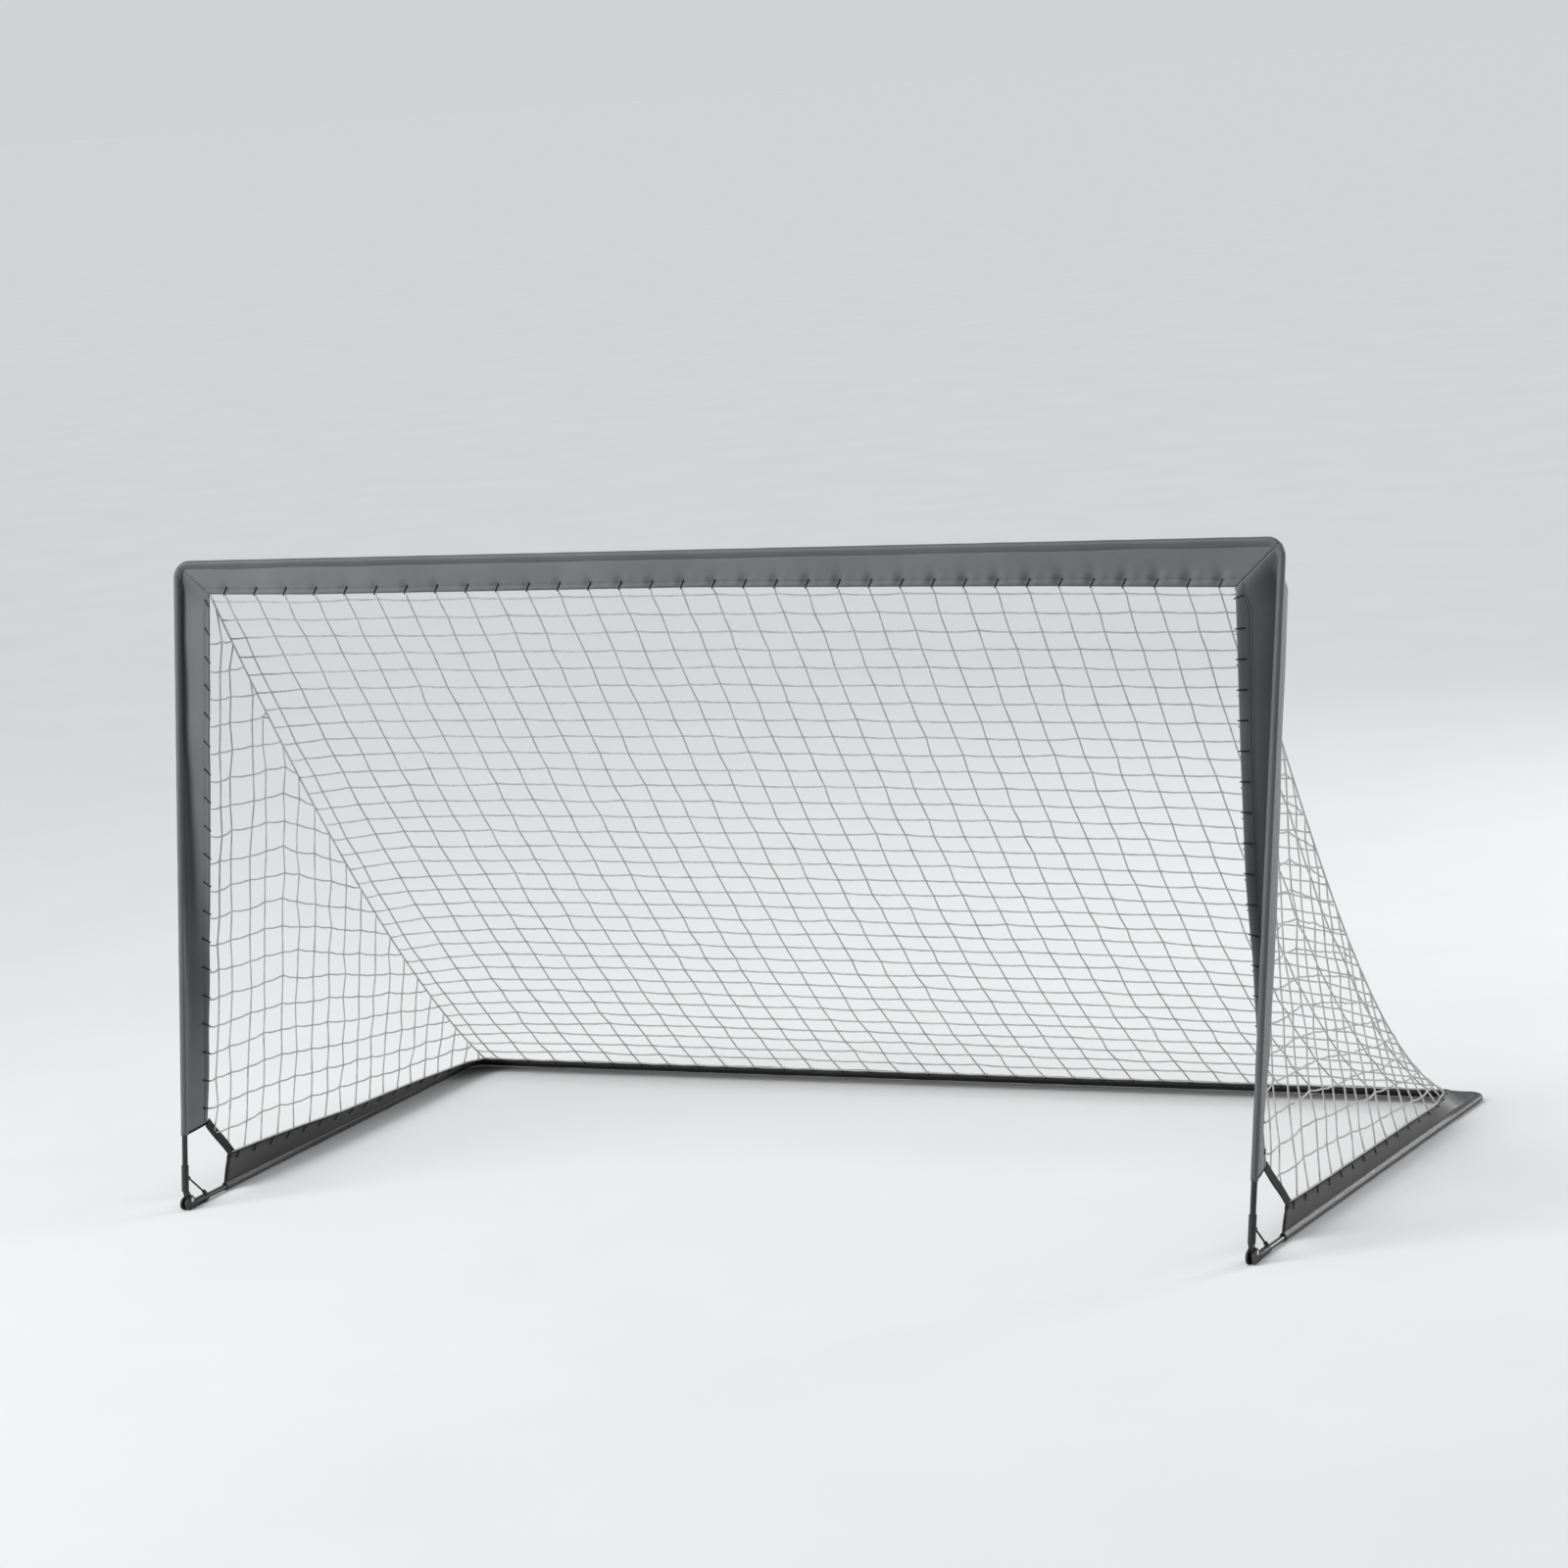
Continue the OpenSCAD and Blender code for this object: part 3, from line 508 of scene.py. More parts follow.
def leg_hem(plane, hand, s):
    """A leg's axis, the way to its band's hem and how far that is."""
    side, share = SIDES[hand], s / plane.length
    turn = math.radians(along_list(POST_TURN if plane is FRONT else RAIL_TURN[hand], share))
    chord = along_list((POST_CHORD if plane is FRONT else RAIL_CHORD)[hand], share)
    out = math.cos(turn) * -side * ACROSS + math.sin(turn) * plane.inward
    return plane.point(side * plane.leg_x(s), 0, s), out, chord * MM


def leg_drape(plane, hand, s, to_mitre):
    """The way the cloth leaves a leg's pocket, and how far it runs that way."""
    _, out, _ = leg_hem(plane, hand, s)
    if plane is BASE:
        return out, 0.0
    ease = min(1.0, max(0.0, to_mitre / CORNER_EASE))
    depth = ease * along_list(POST_DRAPE[hand], s / plane.length) * MM
    return out.lerp(plane.inward, ease).normalized(), depth


def mitre(plane, hand, across):
    """Where a leg's band meets the cross band: how far up the leg and how far from the middle."""
    lean = math.cos(far_tilt(plane))
    s = plane.length - pole_distance(corner_reach(plane, hand), across) * lean
    return s, plane.leg_x(s) - pole_distance(leg_hem(plane, hand, s)[2], across) * lean


def leg_band_point(plane, hand, across, share):
    """A point of a leg's band, and the way out of its face there."""
    end = mitre(plane, hand, across)[0]
    s = mix(band_start(plane, across), end, share)
    axis, out, chord = leg_hem(plane, hand, s)
    leave, depth = leg_drape(plane, hand, s, end - s)
    seam = axis + sizes().pocket_radius * leave
    elbow, hem = seam + depth * leave, axis + chord * out
    bend = depth / (depth + (hem - elbow).length)

    def along(f):
        if bend and f < bend:
            return seam.lerp(elbow, f / bend)
        return elbow + (hem - elbow) * ((f - bend) / (1 - bend))

    f = across_share(across)
    soft = min(SOFT_ELBOW, max(0.0, f), max(0.0, 1 - f))
    point = (along(f - soft) + along(f) + along(f + soft)) / 3
    run = along(f + FACE_STEP) - along(f - FACE_STEP)
    face = run.dot(plane.inward) * -SIDES[hand] * ACROSS + run.dot(SIDES[hand] * ACROSS) * plane.inward
    return point, face.normalized()


def cross_out(plane):
    """The way from a cross pole out to its band's hem."""
    return math.sin(far_tilt(plane)) * plane.inward - math.cos(far_tilt(plane)) * plane.along


def cross_band_point(plane, across, share):
    tilt, reach = far_tilt(plane), pole_distance(cross_reach(plane, share), across)
    left, right = (mitre(plane, hand, across)[1] - MITRE_GAP for hand in SIDES)
    face = -math.cos(tilt) * plane.inward - math.sin(tilt) * plane.along
    x = mix(-left, right, share)
    return plane.point(x, reach * math.sin(tilt), plane.length - reach * math.cos(tilt)), face


def ply(across):
    """Half the thickness of a band, thin at its seams and full at its folded hem."""
    s, hem = sizes(), fold_line()
    if across >= s.band_reach - 0.1 * MM:
        return 0.15 * MM
    if across > hem + 1 * MM:
        return 1.25 * MM
    if abs(across - hem) <= 1 * MM or across < s.pocket_radius + 3 * MM:
        return 0.6 * MM
    middle_share = (across - s.pocket_radius) / (hem - s.pocket_radius)
    return (0.75 + 0.45 * math.sin(math.pi * middle_share)) * MM


def band_steps():
    """The distances across a band at which its mesh has a line, from its pocket to its hem."""
    s, hem = sizes(), fold_line()
    panel = [mix(s.pocket_radius + 4 * MM, hem - 3 * MM, k / 8) for k in range(9)]
    return [s.pocket_radius - 0.7 * MM, s.pocket_radius + 1.2 * MM, s.pocket_radius + 2.4 * MM, *panel,
            hem - 0.8 * MM, hem + 0.8 * MM, hem + 2 * MM, s.band_reach - 4 * MM, s.band_reach - 0.8 * MM,
            s.band_reach]


def waves(seed, size, length):
    """Low ripples across a length of cloth: a function of the distance along and across it."""
    draw, count = random.Random(seed), 5
    parts = [(size * draw.uniform(0.3, 1) / count ** 0.5, 2 * math.pi * draw.uniform(0.6, 2.2) / length,
              draw.uniform(-25, 25), draw.uniform(0, 6.28)) for _ in range(count)]
    return lambda along, across: sum(a * math.sin(k * along + c * across + p) for a, k, c, p in parts)


def flap(name, cloth, place, steps, length, ripple, bound=False, border=0.0, by_x=False):
    """A band of two plies, from its pocket to its hem. place(across, share) gives a point and its face."""
    across = band_steps()
    around = across + across[-2::-1]
    last = len(across) - 1

    def put(u, w):
        k = min(round(w * (len(around) - 1)), len(around) - 1)
        a = around[k]
        point, face = place(a, u)
        side = 1 if k <= last else -1
        lift = 0.0 if k in (0, len(around) - 1) else ply(a)
        return point + face * (side * lift + ripple(point.x if by_x else u * length, a))

    bm = grid(steps, len(around) - 1, put, (length, 1.0))
    layer = bm.loops.layers.uv.active
    tape = sizes().band_reach - TAPE_WIDTH
    for face in bm.faces:
        for loop in face.loops:
            loop[layer].uv.y = around[round(loop[layer].uv.y * (len(around) - 1))]
        ends, heights = zip(*[loop[layer].uv for loop in face.loops])
        face.material_index = int(bound and min(heights) >= tape or max(ends) <= border)
    close_up(bm)
    made = piece(name, bm, cloth, "binding")
    return made


def bend_start(plane):
    """How far up a leg its corner bend starts, and the leg's slope from straight."""
    spread, radius = sizes().leg_spread, sizes().bend_radius
    slope = math.atan2(spread, plane.length)
    reach = math.hypot(spread, plane.length) - radius * math.tan((math.pi / 2 + slope) / 2)
    return reach * math.cos(slope), slope


def bend_point(plane, side, share):
    """A point on the bent corner pole, and the way to the inside of the bend."""
    s, slope = bend_start(plane)
    turn = share * (math.pi / 2 + slope)
    run = side * math.sin(slope) * ACROSS + math.cos(slope) * plane.along
    inside = -side * math.cos(slope) * ACROSS + math.sin(slope) * plane.along
    start = plane.point(side * plane.leg_x(s), 0, s)
    point = start + sizes().bend_radius * (math.sin(turn) * run + (1 - math.cos(turn)) * inside)
    return point, -math.sin(turn) * run + math.cos(turn) * inside


def bend_spine(plane, side, first):
    """Points along half a corner's bend, from a share of it, each with the way to its band."""
    tilt, spine = far_tilt(plane), []
    for i in range(BEND_STEPS + 1):
        point, inner = bend_point(plane, side, first + 0.5 * i / BEND_STEPS)
        spine.append((point, math.cos(tilt) * inner + math.sin(tilt) * plane.inward))
    return spine


def leg_spine(plane, hand, steps=150):
    """The same along a leg's pocket, up to the middle of its bend."""
    spine, end = [], bend_start(plane)[0]
    for i in range(steps + 1):
        s = mix(sleeve_start(plane), end, i / steps)
        to_mitre = plane.length - sizes().pocket_radius - s
        spine.append((leg_hem(plane, hand, s)[0], leg_drape(plane, hand, s, to_mitre)[0]))
    return spine + bend_spine(plane, SIDES[hand], 0)[1:]


def cross_spine(plane, steps=260):
    """The same along a cross pole's pocket, between the middles of its two bends."""
    right = bend_spine(plane, 1, 0.5)
    left = [(Vector((-p.x, p.y, p.z)), Vector((-o.x, o.y, o.z))) for p, o in right]
    ends, out = (left[-1][0].x, right[-1][0].x), cross_out(plane)
    run = [(plane.point(mix(*ends, i / steps), 0, plane.length), out) for i in range(1, steps)]
    return left + run + right[::-1]


def pocket(name, cloth, spine, seed):
    """A sleeve round a pole: a tube of cloth that draws out to a nose where its band is sewn on."""
    s, ripple = sizes(), waves(seed, 0.5 * MM, 0.12)
    lengths = [0.0]
    for (a, _), (b, _) in zip(spine, spine[1:]):
        lengths.append(lengths[-1] + (b - a).length)

    def put(u, w):
        i = round(u * (len(spine) - 1))
        point, out = spine[i]
        run = (spine[min(i + 1, len(spine) - 1)][0] - spine[max(i - 1, 0)][0]).normalized()
        out = (out - out.dot(run) * run).normalized()
        square = run.cross(out)
        angle = 2 * math.pi * (round(w * POCKET_SIDES) % POCKET_SIDES) / POCKET_SIDES
        off = (angle + math.pi) % (2 * math.pi) - math.pi
        reach = s.pocket_radius - POCKET_EASE + s.pocket_nose * math.exp(-(off / NOSE_SPREAD) ** 2)
        reach += 0.35 * ripple(lengths[i], 0.02 * math.sin(angle))
        return point + reach * (math.cos(angle) * out + math.sin(angle) * square)

    bm = grid(len(spine) - 1, POCKET_SIDES, put, (lengths[-1], 2 * math.pi * s.pocket_radius))
    close_up(bm, ends=False)
    made = piece(name, bm, cloth)
    wall = made.modifiers.new("wall", "SOLIDIFY")
    wall.thickness, wall.offset = s.pocket_wall, -1
    return made


def tie_shares():
    """Where the back net's columns lie from left to right, a little wider apart at the left."""
    even = [(j + 0.5) / sizes().columns for j in range(sizes().columns)]
    return [share + COLUMN_SHIFT * share * (1 - share) for share in even]


def crossbar_ripple():
    """Ripples of the crossbar's band, with a pucker at each tie."""
    ripple, hem = waves(6, 1.0 * MM, 0.35), fold_line()
    ties = [(cross_band_point(FRONT, sizes().band_reach, share)[0].x, along_list(PUCKERS, share) * MM)
            for share in tie_shares()]

    def height(along, across):
        value = ripple(along, across)
        for place, depth in ties:
            off, down = abs(along - place), abs(across - hem)
            if off < PUCKER_END:
                drawn = math.exp(-(off / HOLLOW_SPREAD) ** 2)
                drawn -= RISE_SHARE * math.exp(-((off - RISE_PLACE) / RISE_SPREAD) ** 2)
                crease = CREASE_SHARE * math.exp(-(off / CREASE_SPREAD) ** 2)
                crease *= max(0.0, 1 - down / CREASE_LENGTH)
                value -= depth * (drawn * math.exp(-(down / HOLLOW_WIDTH) ** 2) + crease)
        return value

    return height


# ---- Netting ----
def net_end(plane, hand):
    """How far up a leg the nets end, just past the cross band's hem."""
    return plane.length - (corner_reach(plane, hand) + NET_GAP) * math.cos(far_tilt(plane))


def net_edge(plane, hand, s):
    """The edge of a side net on a leg's hem."""
    axis, out, chord = leg_hem(plane, hand, s)
    return axis + (chord + NET_GAP) * out


def sag_share(t, skew=0.0):
    return 4 * t * (1 - t) * (1 + skew * (2 * t - 1))


def hip_line(hand):
    """The sagging line along which a side net joins the back net: a function of the share from its top."""
    top, rear = (net_edge(plane, hand, net_end(plane, hand)) for plane in (FRONT, BASE))
    sag = Vector((-SIDES[hand] * sizes().hip_draw, 0, -sizes().hip_sag))
    return lambda t: top.lerp(rear, t) + sag_share(t, HIP_SKEW[hand]) * sag


def back_sheet():
    """The back net: a function of u, from -1 at the left to 1 at the right, and t, from the top to the rear."""
    left, right = hip_line("left"), hip_line("right")
    tops, rears = (left(0), right(0)), (left(1), right(1))
    ends = cross_reach(FRONT, 0), cross_reach(FRONT, 1)

    def point(u, t):
        share = (u + 1) / 2
        place = left(t).lerp(right(t), share)
        middle_z = mix(mix(tops[0].z, tops[1].z, share), mix(rears[0].z, rears[1].z, share), t)
        middle_z -= sizes().net_sag * sag_share(t)
        place.z = mix(middle_z, place.z, math.exp((abs(u) - 1) / HIP_BLEND))
        return place + (mix(*ends, share) - cross_reach(FRONT, share)) * (1 - t) ** 3 * FRONT.along

    return point


def sampled(line, steps):
    """Points along a line, which is a function of 0 to 1."""
    return [line(k / steps) for k in range(steps + 1)]


def row_shares(line, rows, fine=400):
    """Shares of a line where it starts and where its rows lie, the last at its end."""
    points = sampled(line, fine)
    reach = [0.0]
    for a, b in zip(points, points[1:]):
        reach.append(reach[-1] + (b - a).length)
    shares, i = [0.0], 0
    for k in range(rows):
        goal = mix(FIRST_ROW, reach[-1], k / (rows - 1))
        while i < fine - 1 and reach[i + 1] < goal:
            i += 1
        shares.append((i + (goal - reach[i]) / (reach[i + 1] - reach[i])) / fine)
    return shares


def solve(function, goal, low, high):
    """Where a function that rises from low to high reaches a goal."""
    for _ in range(30):
        centre = (low + high) / 2
        if function(centre) < goal:
            low = centre
        else:
            high = centre
    return (low + high) / 2


class SideNet:
    """The curved sheet of a side net: a is the distance behind the post's hem and z the height."""

    def __init__(self, hand):
        self.hand, self.hip = hand, hip_line(hand)
        self.top = self.hip(0)
        self.post_end, self.rail_end = net_end(FRONT, hand), net_end(BASE, hand)

    def post(self, z):
        """The post's hem at a height, carried on below the band's end."""
        return self.post_hem(solve(lambda s: self.post_hem(s).z, z, 0, self.post_end))

    def post_hem(self, s):
        return net_edge(FRONT, self.hand, s)

    def rail(self, y):
        return net_edge(BASE, self.hand, min(max(y - FRONT_Y, 0), self.rail_end))

    def hip_at_height(self, z):
        return self.hip(solve(lambda t: -self.hip(t).z, -z, 0, 1))

    def hip_at_depth(self, y):
        return self.hip(solve(lambda t: self.hip(t).y, y, 0, 1))

    def point(self, a, z):
        post, hip = self.post(z), self.hip_at_height(z)
        y = post.y + a
        rail, over = self.rail(y), self.hip_at_depth(y)
        across = mix(post.x, hip.x, a / max(hip.y - post.y, 1e-4))
        up = mix(rail.x, over.x, (z - rail.z) / max(over.z - rail.z, 1e-4))
        from_rail, from_post = max(z - rail.z, 1e-5), max(a, 1e-5)
        return Vector(((across * from_rail + up * from_post) / (from_rail + from_post), y, z))

    def reach(self, z):
        """How far the net runs back from the post at a height."""
        return self.hip_at_height(z).y - self.post(z).y

    def droop(self, z, a):
        """The height of a level strand that leaves the post at z, and falls little up to side_level."""
        return z * (1 - sizes().side_droop * max(a - sizes().side_level, LEAST_FALL * a) / self.top.z)

    def start(self, z):
        """How far behind the post's hem the corner strap lies at a height."""
        low, high = self.strap()
        if z >= high.z:
            return 0.0
        return mix(low.y, high.y, (z - low.z) / (high.z - low.z)) - self.post(z).y

    def strap(self):
        """The corner strap's two ends, on the rail's band and on the post's."""
        reach, behind = sizes().band_reach, sizes().strap_set
        return self.rail(FRONT_Y + band_start(BASE, reach) + behind), self.post_hem(band_start(FRONT, reach))

    def foot(self, a):
        """Where an upright strand starts, on the rail's hem or on the corner strap."""
        low, high = self.strap()
        y = self.post(low.z).y + a
        if y >= low.y:
            return self.rail(y)
        return self.point(a, solve(lambda z: -self.start(z), -a, low.z, high.z))


def split_at_fold(bm, name, slot):
    """Cuts a bmesh where the two frames' planes part, and makes each half a piece that rides on its frame."""
    across_fold = (FRONT.along - BASE.along).normalized()
    for plane, front in ((FRONT, True), (BASE, False)):
        half = bm.copy()
        everything = half.verts[:] + half.edges[:] + half.faces[:]
        bmesh.ops.bisect_plane(half, geom=everything, plane_co=PIVOT, plane_no=across_fold,
                               clear_inner=front, clear_outer=not front)
        bmesh.ops.holes_fill(half, edges=[e for e in half.edges if e.is_boundary], sides=0)
        made = piece(f"{name}_{'upper' if front else 'lower'}", half, slot)
        flatten(made, plane)
    bm.free()
    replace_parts(made, name)


def flatten(made, plane):
    """The piece rides on its frame, with its own copy of its mesh."""
    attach(made, plane.body)
    plane.point(0, 0, 0)
    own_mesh(made)


def jitter(draw, size):
    return Vector([draw.uniform(-size, size) for _ in range(3)])


def with_slack(points, sag):
    """A run of points with one more between each two, hanging a little low."""
    run = [points[0]]
    for a, b in zip(points, points[1:]):
        run += [(a + b) / 2 - Vector((0, 0, sag)), b]
    return run


# ---- Operators ----
class GOAL_OT_hardware(bpy.types.Operator):
    """Gives the poles, fittings, pins and elastic cords their finishes"""
    bl_idname = "goal.hardware"
    bl_label = "Poles and fittings"

    def execute(self, context):
        for part in frame["record"]["subparts"]:
            node, slot = part["node"], part["material_slot"]
            materials = frame["nodes"][node].data.materials
            materials.clear()
            materials.append(finish(slot))
        return {"FINISHED"}


class GOAL_OT_front_cloth(bpy.types.Operator):
    """Sews the pockets and bands of the front frame"""
    bl_idname = "goal.front_cloth"
    bl_label = "Front cloth"

    def execute(self, context):
        cross_cloth(FRONT, "crossbar", "cloth", 3, 380, crossbar_ripple())
        for hand in SIDES:
            leg_cloth(FRONT, "post", hand, "cloth", 20 + 3 * (hand == "left"), 5 * MM)
        return {"FINISHED"}


class GOAL_OT_base_cloth(bpy.types.Operator):
    """Sews the pockets and bands of the base"""
    bl_idname = "goal.base_cloth"
    bl_label = "Base cloth"

    def execute(self, context):
        # The base's cloth takes the darker copy of the satin, which is painted shade.
        cross_cloth(BASE, "rear", "base_cloth", 13, 240, waves(16, 0.8 * MM, 0.3))
        for hand in SIDES:
            leg_cloth(BASE, "rail", hand, "base_cloth", 27 + 3 * (hand == "left"), 10 * MM)
        return {"FINISHED"}


def cross_cloth(plane, cross, cloth, seed, steps, ripple):
    """Sews the pocket and the band of the crossbar or the rear bar."""
    sleeve = pocket(f"{cross}_pocket", cloth, cross_spine(plane), seed)
    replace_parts(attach(sleeve, plane.body), f"{cross}_sleeve")
    length, place = 2 * plane.leg_x(plane.length), partial(cross_band_point, plane)
    band = flap(f"{cross}_flap", cloth, place, steps, length, ripple, bound=plane is BASE, by_x=True)
    width = sizes().base_reach - sizes().pocket_radius if plane is BASE else cut_width(place)
    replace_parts(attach(band, plane.body), f"{cross}_band")


def leg_cloth(plane, leg, hand, cloth, seed, border):
    """Sews the pocket and the band of a post or a rail. The border is the tape at the band's lower end."""
    sleeve = pocket(f"{leg}_pocket_{hand}", cloth, leg_spine(plane, hand), seed)
    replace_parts(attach(sleeve, plane.body), f"{leg}_sleeve_{hand}")
    length, place = plane.length - sleeve_start(plane), partial(leg_band_point, plane, hand)
    ripple = waves(seed + 1, 0.9 * MM, 0.3)
    band = flap(f"{leg}_flap_{hand}", cloth, place, 190, length, ripple, bound=plane is BASE, border=border)
    cut_width(place)
    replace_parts(band, f"{leg}_band_{hand}")
    flatten(band, plane)


def cut_width(place, stations=24, steps=10):
    """The width of a band's cloth laid flat, the mean of its drawn widths."""
    s, total = sizes(), 0.0
    across = [mix(s.pocket_radius, s.band_reach, k / steps) for k in range(steps + 1)]
    for i in range(stations):
        line = [place(a, (i + 0.5) / stations)[0] for a in across]
        total += sum((b - a).length for a, b in zip(line, line[1:]))
    return total / stations


class GOAL_OT_back_net(bpy.types.Operator):
    """Knots the back net, from the crossbar's hem to the rear one"""
    bl_idname = "goal.back_net"
    bl_label = "Back net"

    def execute(self, context):
        s, draw, back_point = sizes(), random.Random(11), back_sheet()
        down = row_shares(lambda t: back_point(0, t), s.rows)
        across = [2 * share - 1 for share in tie_shares()]
        crossing = [[back_point(u, t) + jitter(draw, BACK_JITTER) for u in across] for t in down]
        crossing[0], crossing[-1] = ([back_point(u, t) for u in across] for t in (0, 1))
        runs = [with_slack([back_point(-1, t), *points, back_point(1, t)], BACK_SLACK)
                for t, points in zip(down[1:], crossing[1:])]
        runs += [with_slack([row[j] for row in crossing], 0.0) for j in range(s.columns)]
        bm = tubes(runs, s.twine / 2)
        add_knots(bm, [p for row in crossing[1:] for p in row], KNOT_SHARE * s.twine)
        split_at_fold(bm, "back_net", "twine")
        return {"FINISHED"}


class GOAL_OT_side_nets(bpy.types.Operator):
    """Knots the two side nets"""
    bl_idname = "goal.side_nets"
    bl_label = "Side nets"

    def execute(self, context):
        for hand in SIDES:
            self.knot(hand)
        return {"FINISHED"}

    def knot(self, hand):
        s, net, draw = sizes(), SideNet(hand), random.Random(31 + SIDES[hand])
        runs = []
        low = net.rail(FRONT_Y).z
        levels = [low + s.side_rise * i for i in range(1, int((net.top.z - low) / s.side_rise))]
        backs = [FIRST_UPRIGHT + s.side_pitch * j for j in range(int(BASE.length / s.side_pitch))]
        places = {}
        for i, z in enumerate(levels):
            start, rise = net.start(z), min(1.0, z / net.top.z + PLEAT_FOOT)
            for j, a in enumerate(backs):
                if start < a < net.reach(net.droop(z, a)):
                    pleat = (-1) ** j * PLEAT_DEPTH * max(0.0, 1 - a / PLEAT_END) * rise
                    places[i, j] = net.point(a, net.droop(z, a)) + pleat * ACROSS + jitter(draw, SIDE_JITTER)
            end = solve(lambda a: a - net.reach(net.droop(z, a)), 0, 0, BASE.length)
            inner = [places[i, j] for j in range(len(backs)) if (i, j) in places]
            level = [net.point(start, net.droop(z, start)), *inner, net.point(end, net.droop(z, end))]
            runs.append(with_slack(level, SIDE_SLACK))
        for j, a in enumerate(backs):
            inner = [places[i, j] for i in range(len(levels)) if (i, j) in places]
            foot = net.foot(a)
            top = solve(lambda z: -net.reach(z), -a, foot.z, net.top.z)
            if top - foot.z > SHORTEST_UPRIGHT:
                runs.append(with_slack([foot, *inner, net.point(a, top)], 0.0))
        start, end = net.strap()[0].y, net_edge(BASE, hand, net.rail_end).y
        runs.append(sampled(lambda share: net.rail(mix(start, end, share)), 40))
        bm = tubes(runs, s.twine / 2)
        add_knots(bm, places.values(), KNOT_SHARE * s.twine)
        split_at_fold(bm, f"side_net_{hand}", "twine")


class GOAL_OT_cords(bpy.types.Operator):
    """Runs the cords along the nets' joins, the corner straps and the stays"""
    bl_idname = "goal.cords"
    bl_label = "Cords and straps"

    def execute(self, context):
        for hand in SIDES:
            hip = sampled(hip_line(hand), 90)
            split_at_fold(tubes([hip], sizes().hip_cord / 2, 2), f"hip_cord_{hand}", "twine")
            self.strap(hand)
            self.stay(hand)
        return {"FINISHED"}

    @staticmethod
    def strap(hand):
        low, high = SideNet(hand).strap()
        run = (high - low).normalized()
        face = run.cross(Vector((0, run.z, -run.y))).normalized()
        wide = face.cross(run).normalized()
        width, thick, lap = sizes().strap_width, 1.6 * MM, 5 * MM
        low, high = low - lap * run, high + lap * run

        def put(u, w):
            return low.lerp(high, u) + wide * ((w - 0.5) * width) + face * 0.5 * MM * math.cos(9 * u)

        bm = grid(30, 8, put, ((high - low).length, width))
        bmesh.ops.recalc_face_normals(bm, faces=bm.faces)
        bmesh.ops.solidify(bm, geom=bm.faces, thickness=thick)
        split_at_fold(bm, f"corner_strap_{hand}", "webbing")

    @staticmethod
    def stay(hand):
        low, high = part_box(f"stay_cord_{hand}")
        x = (low.x + high.x) / 2
        line = sampled(partial(Vector((x, high.y, low.z)).lerp, Vector((x, low.y, high.z))), 20)
        split_at_fold(tubes([line], sizes().stay / 2, 2), f"stay_cord_{hand}", "stay")


class GOAL_OT_ties(bpy.types.Operator):
    """Ties the nets to the bands' hems"""
    bl_idname = "goal.ties"
    bl_label = "Ties"

    def execute(self, context):
        s = sizes()
        for name, plane, ripple in (("crossbar_ties", FRONT, crossbar_ripple()), ("rear_ties", BASE, None)):
            frames = [cross_band_frame(plane, share, ripple) for share in tie_shares()]
            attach(self.tied(name, frames), plane.body)
        for plane, leg, pitch in ((FRONT, "post", s.side_rise), (BASE, "rail", s.side_pitch)):
            for hand in SIDES:
                count = int((net_end(plane, hand) - sleeve_start(plane)) / pitch)
                frames = [leg_band_frame(plane, hand, (j + 0.6) / count) for j in range(count)]
                flatten(self.tied(f"{leg}_ties_{hand}", frames), plane)
        return {"FINISHED"}

    @staticmethod
    def tied(name, frames):
        """A slanting loop of cord from a hole in the hem round its edge at each frame, and its knot."""
        width = sizes().hem_width
        hole, edge, tip = -width, -3 * MM, 1.6 * MM
        loop = [(hole, -2.4, 2), (edge, 0.8, 2), (tip, 2.4, 0), (edge, 0.8, -2), (hole, -2.4, -2)]
        runs = [[hem + out * a + face * h * MM + out.cross(face) * k * MM for a, k, h in loop]
                for hem, out, face in frames]
        bm = tubes(runs, 1.0 * MM, 0, closed=True)
        add_knots(bm, [run[0] for run in runs], 1.7 * MM)
        # Painted shade: the loops are real ties, but their black binding finish stands for the shade in the slits
        # where the twine passes through the hem.
        made = piece(name, bm, "binding")
        return made


def cross_band_frame(plane, share, ripple):
    """The hem of a cross band, the way out to it and the way out of its face."""
    reach = sizes().band_reach
    hem, face = cross_band_point(plane, reach, share)
    out = cross_out(plane)
    if ripple:
        hem, inner = (hem + ripple(hem.x, a) * face - (reach - a) * out for a in (reach, fold_line()))
        out = (hem - inner).normalized()
    return hem, out, face


def leg_band_frame(plane, hand, share):
    """The same of a leg's band."""
    hem, face = leg_band_point(plane, hand, sizes().band_reach, share)
    inner = leg_band_point(plane, hand, fold_line(), share)[0]
    return hem, (hem - inner).normalized(), face


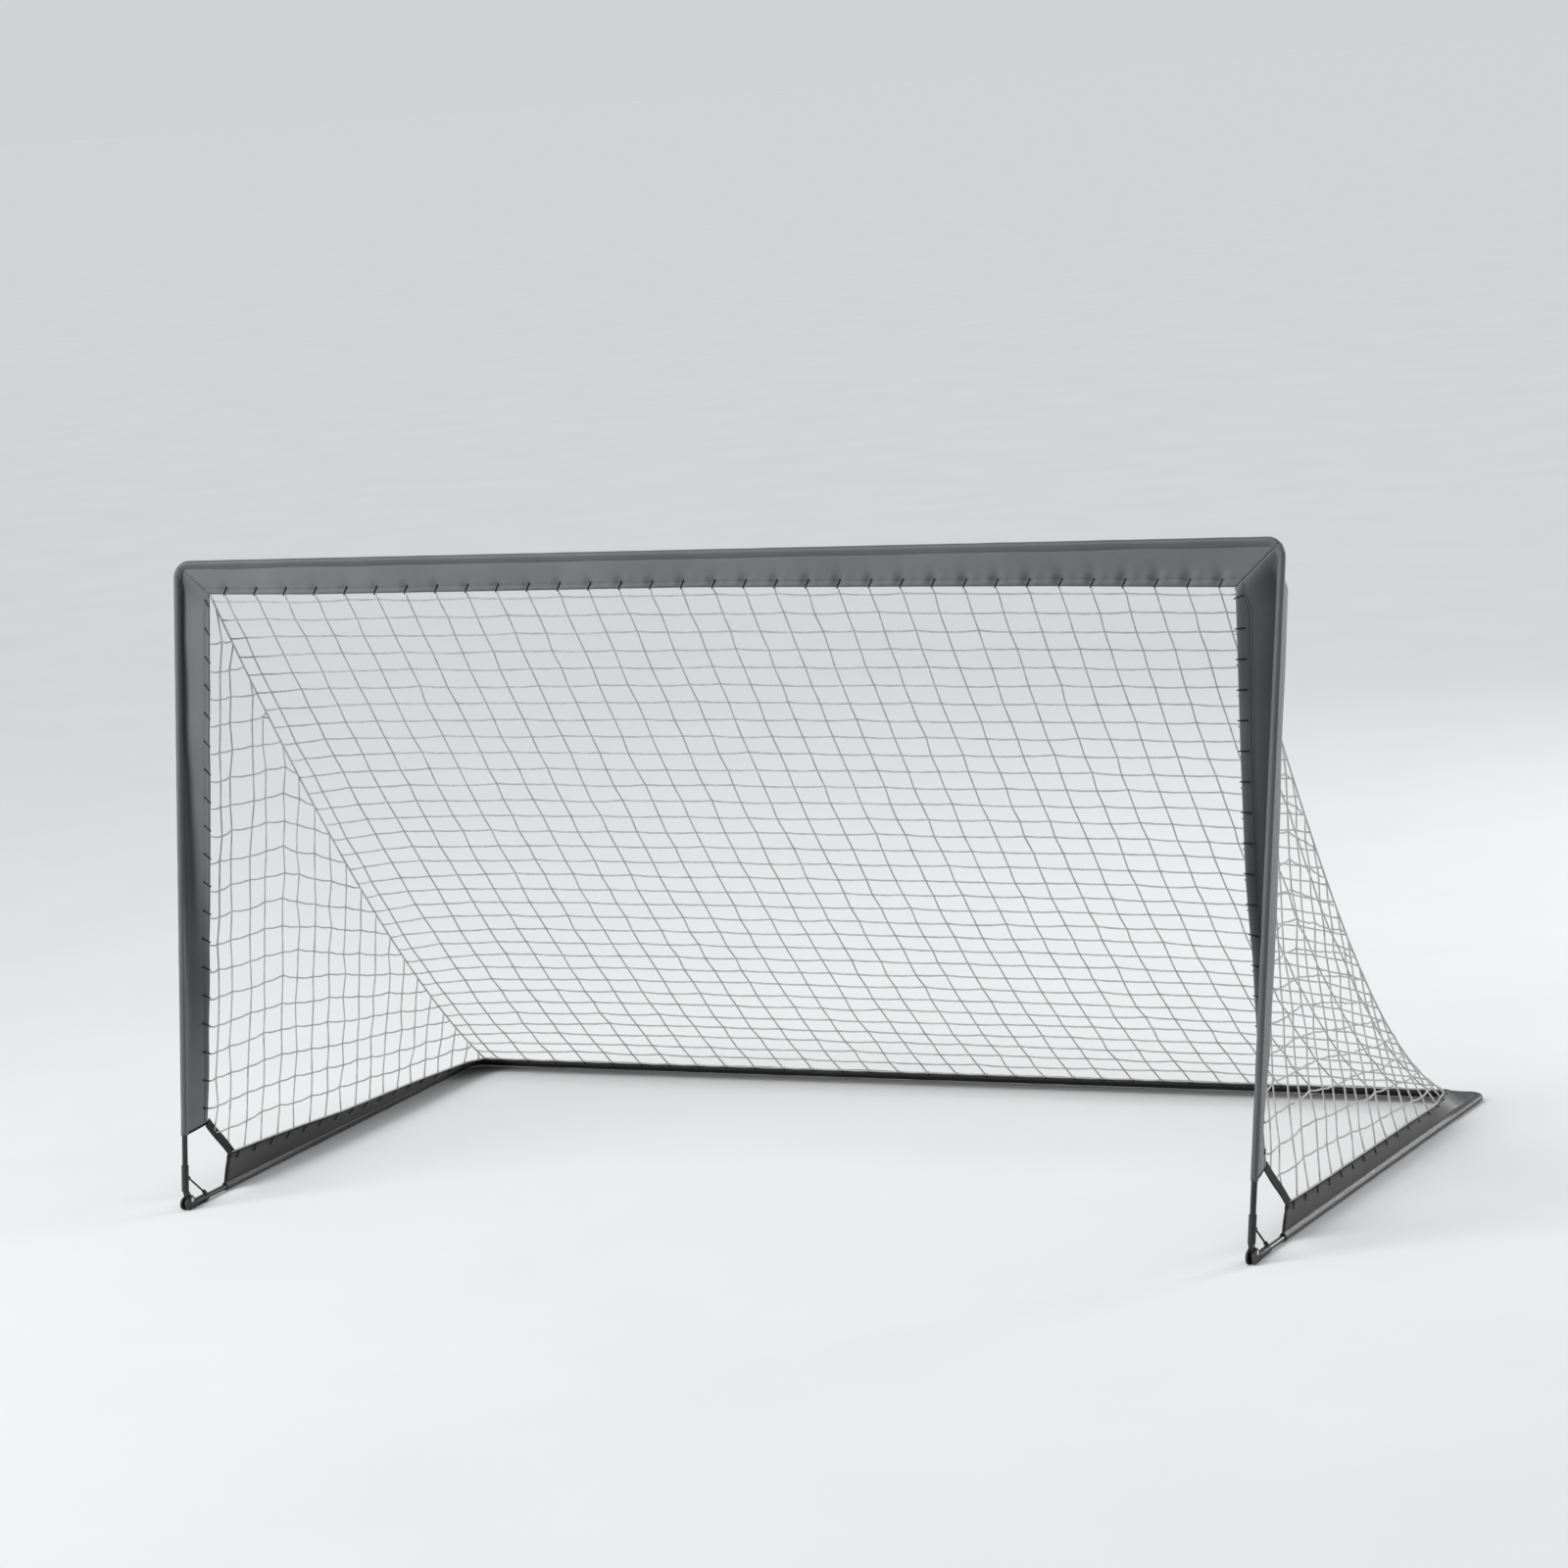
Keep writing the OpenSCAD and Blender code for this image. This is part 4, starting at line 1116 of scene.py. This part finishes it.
class GOAL_OT_stage(bpy.types.Operator):
    """Lays the floor and sets the lights and the camera"""
    bl_idname = "goal.stage"
    bl_label = "Floor, lights and camera"

    def execute(self, context):
        self.floor()
        self.lamp("key_light", "SUN", (-0.55, -0.6, 1.0), (0, 0, 0), energy=1.5, angle=math.radians(35))
        for name, place, width, height, power in (("rim_light", (3.6, 4.6, 1.8), 2.2, 1.8, 60),
                                                  ("front_light", (-3.2, -4.0, 2.3), 2.6, 2.2, 46)):
            self.lamp(name, "AREA", place, (0, 0, 0.5), shape="RECTANGLE", size=width, size_y=height,
                      energy=power, spread=math.radians(110))
        self.studio()
        self.camera()
        bpy.context.scene.view_settings.view_transform = "Standard"
        return {"FINISHED"}

    @staticmethod
    def floor():
        bm = bmesh.new()
        bmesh.ops.create_grid(bm, x_segments=8, y_segments=8, size=150,
                              matrix=Matrix.Translation((0, 0, -0.5 * MM)))
        floor = placed("floor", bpy.data.meshes.new("floor"))
        bm.to_mesh(floor.data)
        bm.free()
        made = Finish("floor_paint", colours().floor, 0.75)
        made.shade(made.noise("object", 3), 0.985, 1.01)
        floor.data.materials.append(made.material)

    @staticmethod
    def studio():
        """Even light all round, and the far floor's own tone behind it."""
        world = bpy.data.worlds.new("studio")
        world.use_nodes = True
        tree, nodes = world.node_tree, world.node_tree.nodes
        even, seen = nodes["Background"], nodes.new("ShaderNodeBackground")
        path, blend = nodes.new("ShaderNodeLightPath"), nodes.new("ShaderNodeMixShader")
        tone = [c * tint for c, tint in zip(colours().floor, (0.99, 1.0, 1.01))]
        feed(tree, even, {"Color": (0.96, 0.98, 1, 1), "Strength": 0.5})
        feed(tree, seen, {"Color": (*tone, 1), "Strength": 0.837})
        feed(tree, blend, {0: path.outputs["Is Camera Ray"], 1: even.outputs[0], 2: seen.outputs[0]})
        feed(tree, nodes["World Output"], {"Surface": blend.outputs[0]})
        bpy.context.scene.world = world

    @staticmethod
    def lamp(name, kind, place, aim, **values):
        """A lamp at a place, turned towards its aim."""
        data = bpy.data.lights.new(name, kind)
        for key, value in values.items():
            setattr(data, key, value)
        made = placed(name, data)
        made.location = place
        made.rotation_euler = (Vector(aim) - Vector(place)).to_track_quat("-Z", "Y").to_euler()

    @staticmethod
    def camera():
        yaw, pitch, roll = math.radians(26.318), math.radians(9.183), math.radians(-4.359)
        focus, frame_pixels, sensor = 4667.9, 1600, 36.0
        data = bpy.data.cameras.new("camera")
        data.sensor_width, data.lens, data.clip_end = sensor, focus / frame_pixels * sensor, 200
        made = placed("camera", data)
        made.matrix_world = (Matrix.Translation((3.1495, -6.4253, 1.7621)) @ Matrix.Rotation(yaw, 4, "Z")
                             @ Matrix.Rotation(math.pi / 2 - pitch, 4, "X") @ Matrix.Rotation(roll, 4, "Z"))
        bpy.context.scene.camera = made


STEPS = (GOAL_OT_stage, GOAL_OT_hardware, GOAL_OT_front_cloth, GOAL_OT_base_cloth, GOAL_OT_back_net,
         GOAL_OT_side_nets, GOAL_OT_cords, GOAL_OT_ties)


class GOAL_PT_panel(bpy.types.Panel):
    """Lists the goal's sizes, colours and steps"""
    bl_idname = "GOAL_PT_panel"
    bl_label = "Folding goal"
    bl_space_type = "VIEW_3D"
    bl_region_type = "UI"
    bl_category = "Goal"

    def draw(self, context):
        for group in (context.scene.goal_sizes, context.scene.goal_colours):
            for name in group.__annotations__:
                self.layout.prop(group, name)
        for step in STEPS:
            self.layout.operator(step.bl_idname)


CLASSES = (GoalSizes, GoalColours, *STEPS, GOAL_PT_panel)


def register():
    for each in CLASSES:
        bpy.utils.register_class(each)
    bpy.types.Scene.goal_sizes = PointerProperty(type=GoalSizes)
    bpy.types.Scene.goal_colours = PointerProperty(type=GoalColours)


def unregister():
    del bpy.types.Scene.goal_sizes
    del bpy.types.Scene.goal_colours
    for each in reversed(CLASSES):
        bpy.utils.unregister_class(each)


def main():
    register()
    for step in STEPS:
        getattr(bpy.ops.goal, step.bl_idname.split(".")[1])()


if __name__ == "__main__":
    main()
